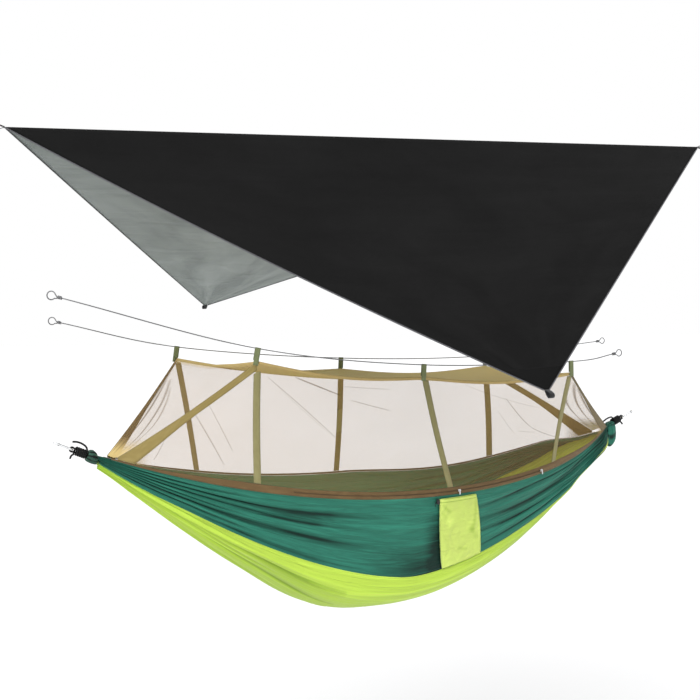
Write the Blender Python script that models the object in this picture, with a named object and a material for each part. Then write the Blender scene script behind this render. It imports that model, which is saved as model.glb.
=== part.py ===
"""A hammock with a net tent over it and a tarp pitched above, in metres, +Z up.

The design frame has X along the hammock, -Y towards the side with the pocket, and its zero midway
between the two gathered ends of the cloth. The finished model hangs from the point inside the crown
of the left carabiner, which is moved to the world's origin.
"""

import math

import bmesh
import bpy
from mathutils import Matrix, Vector

# Hammock cloth: span between the gathered ends, and how far its lines hang below them
HALF_SPAN = 1.19
RIM_HALF_WIDTH = 0.38
RIM_SAG = 0.18
RIM_ARC_REACH = 0.60
RIM_ARC_RADIUS = 2.18
RIM_ARC_TILT = math.radians(33.0)
FAR_RIM_DROP = 0.038
FAR_DROP_PLACE = 0.61
FAR_DROP_REACH = 0.58
SEAM_SAG = 0.484
SEAM_LOW_SHIFT = -0.05
SEAM_CURVE_SHARE = 1.6
SEAM_WIDTH_SHARE = 0.885
BELLY_SHARE = 0.20
NECK_FLARE = 0.045
FLARE_START_SHARE = 0.70
BOTTOM_SAG = 0.645
BOTTOM_PLACE_SHARES = (-1.0, -0.80, -0.55, -0.30, -0.10, 0.15, 0.45, 0.70, 0.88, 0.96, 1.0)
BOTTOM_DROP_SHARES = (0.0, 0.266, 0.609, 0.901, 0.957, 0.906, 0.677, 0.298, 0.158, 0.090, 0.043)
CLOTH_THICKNESS = 0.0010
SEAM_GAP = 0.0009
FOLD_DEPTH = 0.009
FOLD_START_SHARE = 0.25
SIDE_FOLDS = 2
CENTRE_FOLDS = 3
CLOTH_STATIONS = 26
STATION_CROWD_SHARE = 0.20
SIDE_ROWS = 9
CENTRE_ROWS = 14

# Neck, where the cloth is gathered
NECK_HALF_WIDTH = 0.017
NECK_TOP = 0.010
NECK_SEAM_DROP = 0.006
RIGHT_SEAM_DROP = 0.040
RIGHT_SEAM_POWER = 6
NECK_BOTTOM_DROP = 0.037

# Tape between the cloth and the net
BAND_HEIGHT = 0.030
BAND_THICKNESS = 0.0014

# Net tent
NET_THICKNESS = 0.0010
NET_GAP = 0.0007
NET_TOP_HALF_WIDTH = 0.35
NET_WALL_SAG = 0.010
NET_EDGE_SAG = 0.026
NET_SLANT_SAG = 0.010
NET_ROOF_SAG = 0.018
NET_APEX_HEIGHT = 0.020
NET_ROWS = 6
NET_END_COLUMNS = 5
NET_SPAN_COLUMNS = 8
NEAR_FEET = (-0.680, 0.097, 0.662)
FAR_FEET = (-0.690, 0.000, 0.735)
NEAR_HANGERS = (-0.705, -0.007, 0.706)
FAR_HANGERS = (-0.747, 0.007, 0.765)
NEAR_CORD_HEIGHTS = (0.404, 0.328, 0.324)
FAR_CORD_HEIGHTS = (0.387, 0.325, 0.318)
STRIP_LIFT = 0.0009
STRIP_THICKNESS = 0.0011
TAPE_WIDTH = 0.026
BINDING_WIDTH = 0.020
SLANT_BAND_WIDTH = 0.036

# Ridge cords and the webbing hangers that hang from them
RIDGE_CORD_RADIUS = 0.002
NEAR_CORD_LEFT = (-1.426, 0.587)
NEAR_CORD_RIGHT = (0.942, 0.352)
FAR_CORD_LEFT = (-1.236, 0.492)
FAR_CORD_RIGHT = (1.442, 0.376)
RIDGE_CORD_STEPS = 6
EYE_RADIUS = 0.014
EYE_STEPS = 8
WHIP_TURNS = 1
WHIP_POINTS = 8
WHIP_PITCH = 0.0050
WHIP_GAP = 0.0010
HANGER_DROP = 0.045
HANGER_WIDTH = 0.020
HANGER_THICKNESS = 0.0012
HANGER_CLEARANCE = 0.0005
HANGER_OVERLAP = 0.016
HANGER_ARC_STEPS = 8

# Ends: slope of the suspension, end channel, rope and carabiner, along the suspension line
END_SLOPE = math.radians(23.0)
CHANNEL_GAP = 0.0005
CHANNEL_LENGTH = 0.040
CHANNEL_RADIUS = 0.0245
CHANNEL_MOUTH_RADIUS = 0.018
CHANNEL_FLUTES = 9
FLUTE_DEPTH = 0.0018
CHANNEL_DROOPS = (0.0, 0.070)
DROOP_START_SHARE = 0.75
DROOP_POWER = 1.5
MOUTH_DROOPS = (0.0, 0.032)
CHANNEL_SIDES = 36
CHANNEL_RINGS = 5
ROPE_RADIUS = 0.0035
ROPE_GAP = 0.0006
ROPE_HALF_SPREAD = 0.006
ROPE_INNER_END = 0.020
ROPE_LOOP_STEPS = 8
LASHING_START = 0.0444
LASHING_TURNS = 5.5
LASHING_PITCH = 0.0077
LASHING_POINTS = 16
BAR_CENTRE = 0.099

# Carabiner
BAR_RADIUS = 0.004
BASKET_RADIUS = 0.0125
CROWN_RADIUS = 0.0085
CARABINER_LENGTH = 0.080
CARABINER_ARC_STEPS = 9
GATE_RADIUS = 0.0037
GATE_CREST = 0.009
GATE_LENGTH = 0.036
GATE_GAP = 0.0005
TONGUE_THICKNESS = 0.0030
TONGUE_REACH = 0.0030
SLOT_WIDTH = 0.0037
SLOT_REACH = 0.0057
SHOULDER_REACH = 0.0060
HEEL_REACH = 0.0036
RIVET_RADIUS = 0.0015
RIVET_CLEARANCE = 0.0001
RIVET_HEAD_RADIUS = 0.0026
RIVET_HEAD_HEIGHT = 0.0008
RIVET_HEAD_GAP = 0.0003
SPRING_BORE = 0.0017
SPRING_BORE_LENGTH = 0.016
SPRING_RADIUS = 0.00110
SPRING_WIRE = 0.0003
SPRING_TURNS = 5
SPRING_POINTS = 7

# Zip on the near band
ZIP_COIL_RADIUS = 0.0016
ZIP_COIL_GAP = 0.0004
ZIP_LEFT_END = -0.55
ZIP_RIGHT_END = 0.596
ZIP_STEPS = 24
SLIDER_LENGTH = 0.012
SLIDER_HEIGHT = 0.009
SLIDER_DEPTH = 0.0058
SLIDER_CLEARANCE = 0.0005
SLIDER_BEVEL = 0.0008
LEFT_SLIDER_X = 0.137
RIGHT_SLIDER_X = 0.582
POST_WIDTH = 0.0016
POST_HEIGHT = 0.0034
PULL_BAR_RADIUS = 0.0006
PULL_KNUCKLE_RADIUS = 0.0014
PULL_CLEARANCE = 0.0002
PULL_WIDTH = 0.0050
PULL_LENGTH = 0.016
PULL_THICKNESS = 0.0010

# Pocket on the near panel, with its drawcord and cord lock
POCKET_LEFT_X = 0.044
POCKET_RIGHT_X = 0.217
POCKET_TOP_SHARE = 0.03
POCKET_BOTTOM_SHARE = 0.985
POCKET_LEAN = 0.036
POCKET_GAP = 0.0007
POCKET_DEPTH = 0.016
POCKET_WALL = 0.0010
POCKET_MARGIN = 0.004
DRAWCORD_RADIUS = 0.00125
DRAWCORD_DROP = 0.012
LOCK_RADIUS = 0.0070
LOCK_HEIGHT = 0.0150
LOCK_GAP = 0.0030
LOCK_BORE = 0.0046
LOCK_FLOOR = 0.0018
PLUNGER_RADIUS = 0.0043
PLUNGER_RISE = 0.0050
PLUNGER_TRAVEL = 0.0030
LOCK_SPRING_RADIUS = 0.0030
LOCK_SPRING_WIRE = 0.0004
LOCK_SPRING_HEIGHT = 0.0042
LOCK_SPRING_TURNS = 3
CORD_HOLE_CLEARANCE = 0.0004

# Tarp, pitched over its diagonal
TARP_LEFT = (-1.510, 0.0, 1.178)
TARP_RIGHT = (1.739, 0.0, 1.301)
TARP_NEAR = (-0.105, -1.244, 0.286)
TARP_FAR = (-0.173, 1.470, 0.547)
TARP_THICKNESS = 0.0010
TARP_SAG = 0.030
TARP_NEAR_DROOP = 0.022
TARP_FAR_DROOP = 0.004
TARP_RIDGE_GAP = 0.0009
TARP_GAP = 0.0006
TARP_TIP = 0.010
TARP_COLUMNS = 10
TARP_ROWS = 7
PATCH_REACH = 0.110
PATCH_MARGIN = 0.003
PATCH_THICKNESS = 0.0012
LOOP_WIDTH = 0.018
LOOP_THICKNESS = 0.0018
LOOP_REACH = 0.034
LOOP_HALF_HEIGHT = 0.008
LOOP_ARC_STEPS = 8

# Small shares and counts that only shape meshes
NORMAL_STEP_SHARE = 0.001
ROUND_SIDES = 20
CUT_OVERRUN = 0.002


def clear_scene():
    """Remove whatever the file opened with."""
    for item in list(bpy.data.objects):
        bpy.data.objects.remove(item, do_unlink=True)


def make_material(name, colour, roughness, metallic=0.0):
    """One plain Principled material."""
    material = bpy.data.materials.new(name)
    material.use_nodes = True
    shader = material.node_tree.nodes["Principled BSDF"]
    shader.inputs["Base Color"].default_value = (*colour, 1.0)
    shader.inputs["Roughness"].default_value = roughness
    shader.inputs["Metallic"].default_value = metallic
    return material


def place(item, material, name=None, axis_point=None):
    """Link an object, hang it under the root, and set its origin on a joint's axis if it moves."""
    if item.name not in bpy.context.scene.collection.objects:
        bpy.context.scene.collection.objects.link(item)
    if name:
        item.name = name
    item.data.materials.clear()
    item.data.materials.append(material)
    if axis_point is not None:
        item.data.transform(Matrix.Translation(-axis_point))
        item.location = axis_point
    item.parent = ROOT
    return item


def object_from(bm, name):
    """Turn a bmesh into an object that isn't linked yet."""
    mesh = bpy.data.meshes.new(name)
    bm.to_mesh(mesh)
    bm.free()
    return bpy.data.objects.new(name, mesh)


def smooth(item, angle=math.radians(35.0)):
    """Shade an object smooth, with its sharp edges kept."""
    item.data.shade_smooth()
    item.data.set_sharp_from_angle(angle=angle)
    return item


def sheet(name, surface, columns, rows, thickness, outward, grow_out=False):
    """A thick sheet over surface(p, q), with p and q from 0 to 1.

    outward points away from the sheet's inner side at its middle. The sheet grows inwards from the
    surface, or outwards with grow_out.
    """
    bm = bmesh.new()
    bmesh.ops.create_grid(bm, x_segments=columns, y_segments=rows, size=0.5)
    for vertex in bm.verts:
        vertex.co = surface(vertex.co.x + 0.5, vertex.co.y + 0.5)
    bm.normal_update()
    middle = surface(0.5, 0.5)
    nearest = min(bm.faces, key=lambda face: (face.calc_center_median() - middle).length)
    if nearest.normal.dot(outward) < 0:
        bmesh.ops.reverse_faces(bm, faces=bm.faces)
    item = object_from(bm, name)
    wall = item.modifiers.new("wall", "SOLIDIFY")
    wall.thickness = thickness
    wall.offset = 1.0 if grow_out else -1.0
    wall.use_even_offset = False
    item.data.shade_smooth()
    return item


def raised(surface, height, outward):
    """The same surface, moved by height along its normal, to the outward side."""
    step = NORMAL_STEP_SHARE

    def moved(p, q):
        along = surface(p + step, q) - surface(p - step, q)
        across = surface(p, q + step) - surface(p, q - step)
        normal = along.cross(across).normalized()
        if normal.dot(outward) < 0:
            normal.negate()
        return surface(p, q) + normal * height

    return moved


def tube(name, points, radius, resolution=2, cyclic=False):
    """A round tube through points, as a bevelled curve with filled ends."""
    curve = bpy.data.curves.new(name, "CURVE")
    curve.dimensions = "3D"
    curve.bevel_depth = radius
    curve.bevel_resolution = resolution
    curve.use_fill_caps = True
    curve.twist_mode = "MINIMUM"
    spline = curve.splines.new("POLY")
    spline.points.add(len(points) - 1)
    for target, point in zip(spline.points, points):
        target.co = (*point, 1.0)
    spline.use_cyclic_u = cyclic
    return bpy.data.objects.new(name, curve)


def meshed(item):
    """The object with its curve or modifiers turned into a plain mesh."""
    if item.name not in bpy.context.scene.collection.objects:
        bpy.context.scene.collection.objects.link(item)
    bpy.context.view_layer.update()
    graph = bpy.context.evaluated_depsgraph_get()
    mesh = bpy.data.meshes.new_from_object(item.evaluated_get(graph))
    name = item.name
    bpy.data.objects.remove(item, do_unlink=True)
    return bpy.data.objects.new(name, mesh)


def cut(item, cutters):
    """Cut each cutter from the item and delete the cutters."""
    scene_objects = bpy.context.scene.collection.objects
    if item.name not in scene_objects:
        scene_objects.link(item)
    for cutter in cutters:
        if cutter.name not in scene_objects:
            scene_objects.link(cutter)
        cutter.hide_render = True
        cutter.display_type = "WIRE"
        modifier = item.modifiers.new("cut", "BOOLEAN")
        modifier.operation = "DIFFERENCE"
        modifier.object = cutter
    result = meshed(item)
    for cutter in cutters:
        bpy.data.objects.remove(cutter, do_unlink=True)
    return result


def rod(name, start, end, radius, sides=ROUND_SIDES):
    """A straight cylinder from start to end."""
    start = Vector(start)
    line = Vector(end) - start
    bm = bmesh.new()
    turn = line.to_track_quat("Z", "Y").to_matrix().to_4x4()
    middle = Matrix.Translation(start + line / 2)
    bmesh.ops.create_cone(bm, cap_ends=True, segments=sides, radius1=radius, radius2=radius,
                          depth=line.length, matrix=middle @ turn)
    return object_from(bm, name)


def block(name, low, high, bevel=0.0):
    """A box between two corners, with bevelled edges where a bevel is given."""
    low = Vector(low)
    size = Vector(high) - low
    bm = bmesh.new()
    bmesh.ops.create_cube(bm, size=1.0)
    for vertex in bm.verts:
        vertex.co = low + Vector((size[i] * (vertex.co[i] + 0.5) for i in range(3)))
    if bevel:
        bmesh.ops.bevel(bm, geom=bm.edges[:], offset=bevel, segments=1, profile=0.5,
                        affect="EDGES", material=-1)
    return object_from(bm, name)


def joined(name, items):
    """Unite overlapping solids into one closed body."""
    scene_objects = bpy.context.scene.collection.objects
    for item in items:
        if item.name not in scene_objects:
            scene_objects.link(item)
    first = items[0]
    for item in items[1:]:
        modifier = first.modifiers.new("join", "BOOLEAN")
        modifier.operation = "UNION"
        modifier.object = item
    result = meshed(first)
    for item in items[1:]:
        bpy.data.objects.remove(item, do_unlink=True)
    result.name = name
    return result


def least_gap(name, points, radius, skip):
    """Print the least gap of a wound tube to itself, measured on its points."""
    least = min((points[i] - points[j]).length
                for i in range(len(points)) for j in range(i + skip, len(points)))
    print(f"{name}: least gap to itself {(least - 2 * radius) * 1000:.2f} mm")


def mix(low, high, share):
    """The value or point that lies this share of the way from low to high."""
    return low + (high - low) * share


def along_table(places, values, place):
    """The value at a place, on a smooth line through a table of places and values."""
    last = len(places) - 1
    index = max((i for i in range(last) if place >= places[i]), default=0)

    def slope(i):
        before = max(i - 1, 0)
        after = min(i + 1, last)
        return (values[after] - values[before]) / (places[after] - places[before])

    step = places[index + 1] - places[index]
    t = (place - places[index]) / step
    bend = t * t * (3 - 2 * t)
    start_bend = t * (1 - t) ** 2 * step * slope(index)
    end_bend = t * t * (t - 1) * step * slope(index + 1)
    return mix(values[index], values[index + 1], bend) + start_bend + end_bend


def smooth_path(knots, steps):
    """Points of one smooth curve through the knots, with this many steps in each span."""
    knots = [Vector(knot) for knot in knots]
    padded = [2 * knots[0] - knots[1], *knots, 2 * knots[-1] - knots[-2]]
    points = [knots[0]]
    for before, start, end, after in zip(padded, padded[1:], padded[2:], padded[3:]):
        for step in range(1, steps + 1):
            t = step / steps
            points.append(0.5 * (2 * start + (end - before) * t
                                 + (2 * before - 5 * start + 4 * end - after) * t * t
                                 + (3 * start - before - 3 * end + after) * t ** 3))
    return points


# The cloth's lines, each a function of X

def rim_point(x, side):
    """A point of the cloth's upper edge: an arc in its middle, drawn in to the neck beyond it.

    The far edge hangs lower towards the right.
    """
    reach = min(abs(x), RIM_ARC_REACH)
    angle = math.asin(reach / RIM_ARC_RADIUS)
    rise = RIM_ARC_RADIUS * (1 - math.cos(angle))
    slope = math.tan(angle)
    beyond = max(abs(x) - RIM_ARC_REACH, 0.0)
    run = HALF_SPAN - RIM_ARC_REACH
    pull = (beyond / run) ** 2
    half = RIM_HALF_WIDTH - rise * math.cos(RIM_ARC_TILT)
    narrowing = slope * math.cos(RIM_ARC_TILT)
    half_here = half - narrowing * beyond - (half - narrowing * run - NECK_HALF_WIDTH) * pull
    height = rise * math.sin(RIM_ARC_TILT) - RIM_SAG
    climb = slope * math.sin(RIM_ARC_TILT)
    height_here = height + climb * beyond + (NECK_TOP - height - climb * run) * pull
    if side > 0:
        away = min(abs(x - FAR_DROP_PLACE) / FAR_DROP_REACH, 1.0)
        height_here -= FAR_RIM_DROP * (1 - away ** 2) ** 2
    return Vector((x, side * half_here, height_here))


def seam_point(x, side):
    """A point of the seam between a side panel and the centre panel.

    The cloth bellies out towards the right neck, and flares and drops just before it.
    """
    share = x / HALF_SPAN
    moved = (x - SEAM_LOW_SHIFT * (1 - share * share)) / HALF_SPAN
    belly = BELLY_SHARE * max(share, 0.0) ** 3
    flare_share = max(share - FLARE_START_SHARE, 0.0) / (1 - FLARE_START_SHARE)
    rim = rim_point(x, side)
    half = NECK_HALF_WIDTH + (abs(rim.y) - NECK_HALF_WIDTH) * (SEAM_WIDTH_SHARE + belly)
    half += NECK_FLARE * math.sin(math.pi * flare_share ** 2)
    height = -NECK_SEAM_DROP - RIGHT_SEAM_DROP * max(share, 0.0) ** RIGHT_SEAM_POWER
    height -= SEAM_SAG * (1 - abs(moved) ** SEAM_CURVE_SHARE)
    return Vector((x, side * half, height))


def bottom_height(x):
    """Height of the cloth's lowest line."""
    drop = along_table(BOTTOM_PLACE_SHARES, BOTTOM_DROP_SHARES, x / HALF_SPAN)
    return -NECK_BOTTOM_DROP - BOTTOM_SAG * drop


def fold(x, share, count):
    """Depth of the long folds that run to the necks, none at the seams, the middle or the neck."""
    along = (abs(x) / HALF_SPAN - FOLD_START_SHARE) / (1 - FOLD_START_SHARE)
    along = max(along, 0.0)
    depth = FOLD_DEPTH * 4 * along * (1 - along)
    return depth * math.sin(math.pi * share) ** 2 * math.sin(2 * math.pi * count * share)


def side_point(x, t, side):
    """A point of a side panel: t is 0 at the rim and 1 at the seam."""
    rim = rim_point(x, side)
    seam = seam_point(x, side)
    y = mix(rim.y, seam.y, math.sin(math.pi / 2 * t)) + side * fold(x, t, SIDE_FOLDS)
    return Vector((x, y, mix(rim.z, seam.z + SEAM_GAP / 2, t)))


def centre_point(x, t):
    """A point of the centre panel: t is 0 at the near seam and 1 at the far seam."""
    seam = seam_point(x, 1)
    turn = math.pi / 2 * (2 * t - 1)
    low = bottom_height(x)
    drop = fold(x, t, CENTRE_FOLDS)
    y = seam.y * math.sin(turn) + drop * math.sin(turn)
    z = low + (seam.z - SEAM_GAP / 2 - low) * (1 - math.cos(turn)) - drop * math.cos(turn)
    return Vector((x, y, z))


def station(share):
    """X of a share of the cloth's stations, which crowd towards the necks."""
    place = 2 * share - 1
    return HALF_SPAN * (place + STATION_CROWD_SHARE * (place - place ** 3))


def build_cloth(materials):
    """The three panels of the hammock."""
    for name, side in (("near_panel", -1), ("far_panel", 1)):
        item = sheet(name, lambda p, q: side_point(station(p), q, side), CLOTH_STATIONS, SIDE_ROWS,
                     CLOTH_THICKNESS, Vector((0, side, 0)))
        place(item, materials["green"], axis_point=rock_axis_point())
    item = sheet("centre_panel", lambda p, q: centre_point(station(p), q), CLOTH_STATIONS,
                 CENTRE_ROWS, CLOTH_THICKNESS, Vector((0, 0, -1)))
    place(item, materials["lime"], axis_point=rock_axis_point())


def band_reach():
    """X of the band's ends: one station in from the necks."""
    return station(1 - 1 / CLOTH_STATIONS)


def build_rim_bands(materials):
    """The tapes that join the cloth's upper edges to the net."""
    inset = 1 / CLOTH_STATIONS
    for name, side in (("near_rim_band", -1), ("far_rim_band", 1)):
        def surface(p, q):
            rise = mix(SEAM_GAP, BAND_HEIGHT, q)
            return rim_point(station(mix(inset, 1 - inset, p)), side) + Vector((0, 0, rise))

        item = sheet(name, surface, CLOTH_STATIONS - 2, 1, BAND_THICKNESS, Vector((0, side, 0)))
        place(item, materials["band"], axis_point=rock_axis_point())


# The net, whose walls stand on the bands

def net_knots(side):
    """Feet (X on the band) and tops (points on the net's edge) of one wall, from left to right."""
    reach = band_reach()
    feet = NEAR_FEET if side < 0 else FAR_FEET
    hangers = NEAR_HANGERS if side < 0 else FAR_HANGERS
    heights = NEAR_CORD_HEIGHTS if side < 0 else FAR_CORD_HEIGHTS
    rise = Vector((0, 0, BAND_HEIGHT + NET_GAP + NET_APEX_HEIGHT))
    tops = [rim_point(-reach, side) + rise]
    for x, height in zip(hangers, heights):
        tops.append(Vector((x, side * NET_TOP_HALF_WIDTH, height - HANGER_DROP)))
    tops.append(rim_point(reach, side) + rise)
    return (-reach, *feet, reach), tops


def net_top(side, foot_x):
    """The point of the net's upper edge above a foot."""
    feet, tops = net_knots(side)
    span = max(i for i in range(4) if foot_x >= feet[i] or i == 0)
    share = (foot_x - feet[span]) / (feet[span + 1] - feet[span])
    droop = NET_SLANT_SAG if span in (0, 3) else NET_EDGE_SAG
    point = mix(tops[span], tops[span + 1], share)
    point.z -= droop * math.sin(math.pi * min(max(share, 0.0), 1.0))
    return point


def wall_point(side, foot_x, t):
    """A point of a net wall: t is 0 on the band and 1 at the upper edge."""
    foot = rim_point(foot_x, side) + Vector((0, 0, BAND_HEIGHT + NET_GAP))
    top = net_top(side, foot_x)
    point = mix(foot, top, t)
    tall = (top.z - foot.z) / (NEAR_CORD_HEIGHTS[1] + RIM_SAG)
    point.y -= side * NET_WALL_SAG * tall * math.sin(math.pi * min(max(t, 0.0), 1.0))
    return point


def wall_height(side, foot_x):
    """Length of the wall from the band to its upper edge."""
    foot = rim_point(foot_x, side) + Vector((0, 0, BAND_HEIGHT + NET_GAP))
    return (net_top(side, foot_x) - foot).length


def wall_row(side, foot_x, share):
    """Share of the wall's height at a share of its rows, the last of which lies under the binding."""
    rows_below = (NET_ROWS - 1) / NET_ROWS
    edge = 1 - min(BINDING_WIDTH / wall_height(side, foot_x), 1 / NET_ROWS)
    if share <= rows_below:
        return edge * share / rows_below
    return mix(edge, 1.0, (share - rows_below) * NET_ROWS)


def spread(knots, counts, share):
    """The value at a share of a list of spans that are cut into counts of equal columns."""
    column = share * sum(counts)
    for low, high, count in zip(knots, knots[1:], counts):
        if column <= count or high == knots[-1]:
            break
        column -= count
    return mix(low, high, column / count)


def side_name(side):
    """Which side a piece is on."""
    return "near" if side < 0 else "far"


def build_net(materials):
    """Two walls, and the roof that slopes down to a point at both ends."""
    counts = (NET_END_COLUMNS, NET_SPAN_COLUMNS, NET_SPAN_COLUMNS, NET_END_COLUMNS)
    near_feet = net_knots(-1)[0]
    far_feet = net_knots(1)[0]
    for side, feet in ((-1, near_feet), (1, far_feet)):
        def wall(p, q):
            foot_x = spread(feet, counts, p)
            return wall_point(side, foot_x, wall_row(side, foot_x, q))

        item = sheet(f"{side_name(side)}_net_wall", wall, sum(counts), NET_ROWS, NET_THICKNESS,
                     Vector((0, side, 0)))
        place(item, materials["net"])

    def roof(p, q):
        near = net_top(-1, spread(near_feet, counts, p))
        far = net_top(1, spread(far_feet, counts, p))
        width = (far - near).length
        inset = (NET_THICKNESS + NET_GAP) / width
        point = mix(near, far, mix(inset, 1 - inset, q))
        wide = width / (2 * NET_TOP_HALF_WIDTH)
        point.z -= NET_ROOF_SAG * wide * math.sin(math.pi * q)
        return point

    item = sheet("net_roof", roof, sum(counts), NET_ROWS, NET_THICKNESS, Vector((0, 0, 1)))
    place(item, materials["net"])


def strip(name, side, place_x, low, high, columns, rows):
    """A strip sewn on the outside of a net wall.

    place_x gives its columns' feet, and low and high its shares of the wall's height at a foot.
    """
    def surface(p, q):
        x = place_x(p)
        return wall_point(side, x, mix(low(x), high(x), q))

    outward = Vector((0, side, 0))
    return sheet(name, raised(surface, STRIP_LIFT, outward), columns, rows, STRIP_THICKNESS,
                 outward, grow_out=True)


def build_strips(materials):
    """Upright tapes, slanted bands and the bindings of the upper edges."""
    half = TAPE_WIDTH / 2
    joint = 2 * STRIP_LIFT
    for side in (-1, 1):
        feet = net_knots(side)[0]
        name = side_name(side)

        def below(width):
            """The share of the wall's height that lies this far below its upper edge."""
            return lambda x: max(1 - width / wall_height(side, x), 0.0)

        edge_widths = (SLANT_BAND_WIDTH, BINDING_WIDTH, SLANT_BAND_WIDTH)
        for place_name, foot, width in zip(("left", "middle", "right"), feet[1:4], edge_widths):
            item = strip(f"{name}_{place_name}_tape", side, lambda p: mix(foot - half, foot + half, p),
                         lambda x: 0.0, below(width + joint), 2, NET_ROWS)
            place(item, materials["tape"])
        spans = (NET_SPAN_COLUMNS, NET_SPAN_COLUMNS)
        item = strip(f"{name}_top_binding", side, lambda p: spread(feet[1:4], spans, p),
                     below(BINDING_WIDTH), lambda x: 1.0, sum(spans), 1)
        place(item, materials["tape"])
        for place_name, low_x, high_x in (("left", feet[0], feet[1] - joint),
                                          ("right", feet[3] + joint, feet[4])):
            item = strip(f"{name}_{place_name}_band", side, lambda p: mix(low_x, high_x, p),
                         below(SLANT_BAND_WIDTH), lambda x: 1.0, 2 * NET_END_COLUMNS, 1)
            place(item, materials["slant"])


# Ridge cords and hangers

def ridge_knots(side):
    """The route of a ridge cord's standing part, over its three hangers."""
    hangers = NEAR_HANGERS if side < 0 else FAR_HANGERS
    heights = NEAR_CORD_HEIGHTS if side < 0 else FAR_CORD_HEIGHTS
    left = NEAR_CORD_LEFT if side < 0 else FAR_CORD_LEFT
    right = NEAR_CORD_RIGHT if side < 0 else FAR_CORD_RIGHT
    places = [left, *zip(hangers, heights), right]
    return [Vector((x, side * NET_TOP_HALF_WIDTH, z)) for x, z in places]


def eye(end, inward):
    """A tied eye: from the end of the standing part round and back, then whipped round it.

    inward points back along the standing part. The points start at the standing part's end.
    """
    out = -inward
    up = Vector((0, 1, 0)).cross(out).normalized()
    if up.z < 0:
        up.negate()
    lateral = out.cross(up)
    centre = end + out * EYE_RADIUS * 1.4
    points = []
    for step in range(1, EYE_STEPS):
        turn = math.pi - 2 * math.pi * step / EYE_STEPS
        points.append(centre + out * EYE_RADIUS * math.cos(turn) + up * EYE_RADIUS * math.sin(turn))
    whip = 2 * RIDGE_CORD_RADIUS + WHIP_GAP
    for step in range(WHIP_TURNS * WHIP_POINTS + 1):
        turn = 2 * math.pi * step / WHIP_POINTS
        back = inward * (WHIP_PITCH * step / WHIP_POINTS + RIDGE_CORD_RADIUS)
        points.append(end + back - up * whip * math.cos(turn) + lateral * whip * math.sin(turn))
    return points


def build_ridge_cords(materials):
    """Two grey cords, each tied in an eye at both ends."""
    for side in (-1, 1):
        knots = ridge_knots(side)
        standing = smooth_path(knots, RIDGE_CORD_STEPS)
        left_eye = eye(standing[0], (standing[1] - standing[0]).normalized())
        right_eye = eye(standing[-1], (standing[-2] - standing[-1]).normalized())
        points = [*reversed(left_eye), *standing, *right_eye]
        name = f"{side_name(side)}_ridge_cord"
        least_gap(name, points, RIDGE_CORD_RADIUS, 5)
        place(tube(name, points, RIDGE_CORD_RADIUS), materials["cord"])


def build_hangers(materials):
    """Webbing loops over the ridge cords, sewn to the outside of the bindings."""
    ring = RIDGE_CORD_RADIUS + HANGER_CLEARANCE + HANGER_THICKNESS / 2
    for side in (-1, 1):
        route = smooth_path(ridge_knots(side), RIDGE_CORD_STEPS)
        for place_name, knot in zip(("left", "middle", "right"), ridge_knots(side)[1:4]):
            near = min(range(1, len(route) - 1), key=lambda i: (route[i] - knot).length)
            along = (route[near + 1] - route[near - 1]).normalized()
            out = Vector((0, side, 0))
            up = Vector((-along.z, 0, along.x))
            path = [knot + out * ring - up * (HANGER_DROP + HANGER_OVERLAP),
                    knot + out * ring - up * (HANGER_DROP / 2)]
            for step in range(HANGER_ARC_STEPS + 1):
                turn = math.pi * step / HANGER_ARC_STEPS
                path.append(knot + out * ring * math.cos(turn) + up * ring * math.sin(turn))
            path.append(knot - out * ring - up * (HANGER_DROP / 2))
            path.append(knot - out * ring - up * (HANGER_DROP - HANGER_THICKNESS * 2))

            def surface(p, q):
                spot = min(max(p, 0.0), 1.0) * (len(path) - 1)
                first = min(int(spot), len(path) - 2)
                centre = mix(path[first], path[first + 1], spot - first)
                return centre + along * HANGER_WIDTH * (q - 0.5)

            loop = sheet(f"{side_name(side)}_{place_name}_hanger", surface, len(path) - 1, 1,
                         HANGER_THICKNESS, up)
            loop.modifiers["wall"].offset = 0.0
            place(loop, materials["webbing"])


# Ends: channel, rope and carabiner along the suspension line

def end_frame(end):
    """Gathered end, outward direction and upward direction of the left (-1) or right (1) end."""
    origin = Vector((end * HALF_SPAN, 0, 0))
    out = Vector((end * math.cos(END_SLOPE), 0, math.sin(END_SLOPE)))
    up = Vector((-end * math.sin(END_SLOPE), 0, math.cos(END_SLOPE)))
    return origin, out, up


def end_point(end, along, across, height):
    """A point given along the suspension line, across it (Y) and above it."""
    origin, out, up = end_frame(end)
    return origin + out * along + Vector((0, across, 0)) + up * height


def rock_axis_point():
    """Where the cloth rocks: on the line through the bars that carry the rope loops."""
    return end_point(-1, BAR_CENTRE, 0, 0)


def hang_reach():
    """Distance along the suspension line to the inside of the carabiner's crown."""
    return BAR_CENTRE - BAR_RADIUS + CARABINER_LENGTH - 2 * BAR_RADIUS


def lashing_end():
    """How far out the lashing reaches along the suspension line."""
    return LASHING_START + LASHING_PITCH * LASHING_TURNS + ROPE_RADIUS


def rope_loop_path(end):
    """The closed rope loop: round a bend inside the channel and round the carabiner's bar."""
    bight = BAR_RADIUS + ROPE_GAP + ROPE_RADIUS
    points = [end_point(end, lashing_end(), 0, ROPE_HALF_SPREAD)]
    for step in range(ROPE_LOOP_STEPS + 1):
        turn = math.pi / 2 - math.pi * step / ROPE_LOOP_STEPS
        points.append(end_point(end, BAR_CENTRE + bight * math.cos(turn), 0, bight * math.sin(turn)))
    points.append(end_point(end, lashing_end(), 0, -ROPE_HALF_SPREAD))
    for step in range(ROPE_LOOP_STEPS + 1):
        turn = -math.pi / 2 - math.pi * step / ROPE_LOOP_STEPS
        points.append(end_point(end, ROPE_INNER_END + ROPE_HALF_SPREAD * math.cos(turn), 0,
                                ROPE_HALF_SPREAD * math.sin(turn)))
    return points


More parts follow.
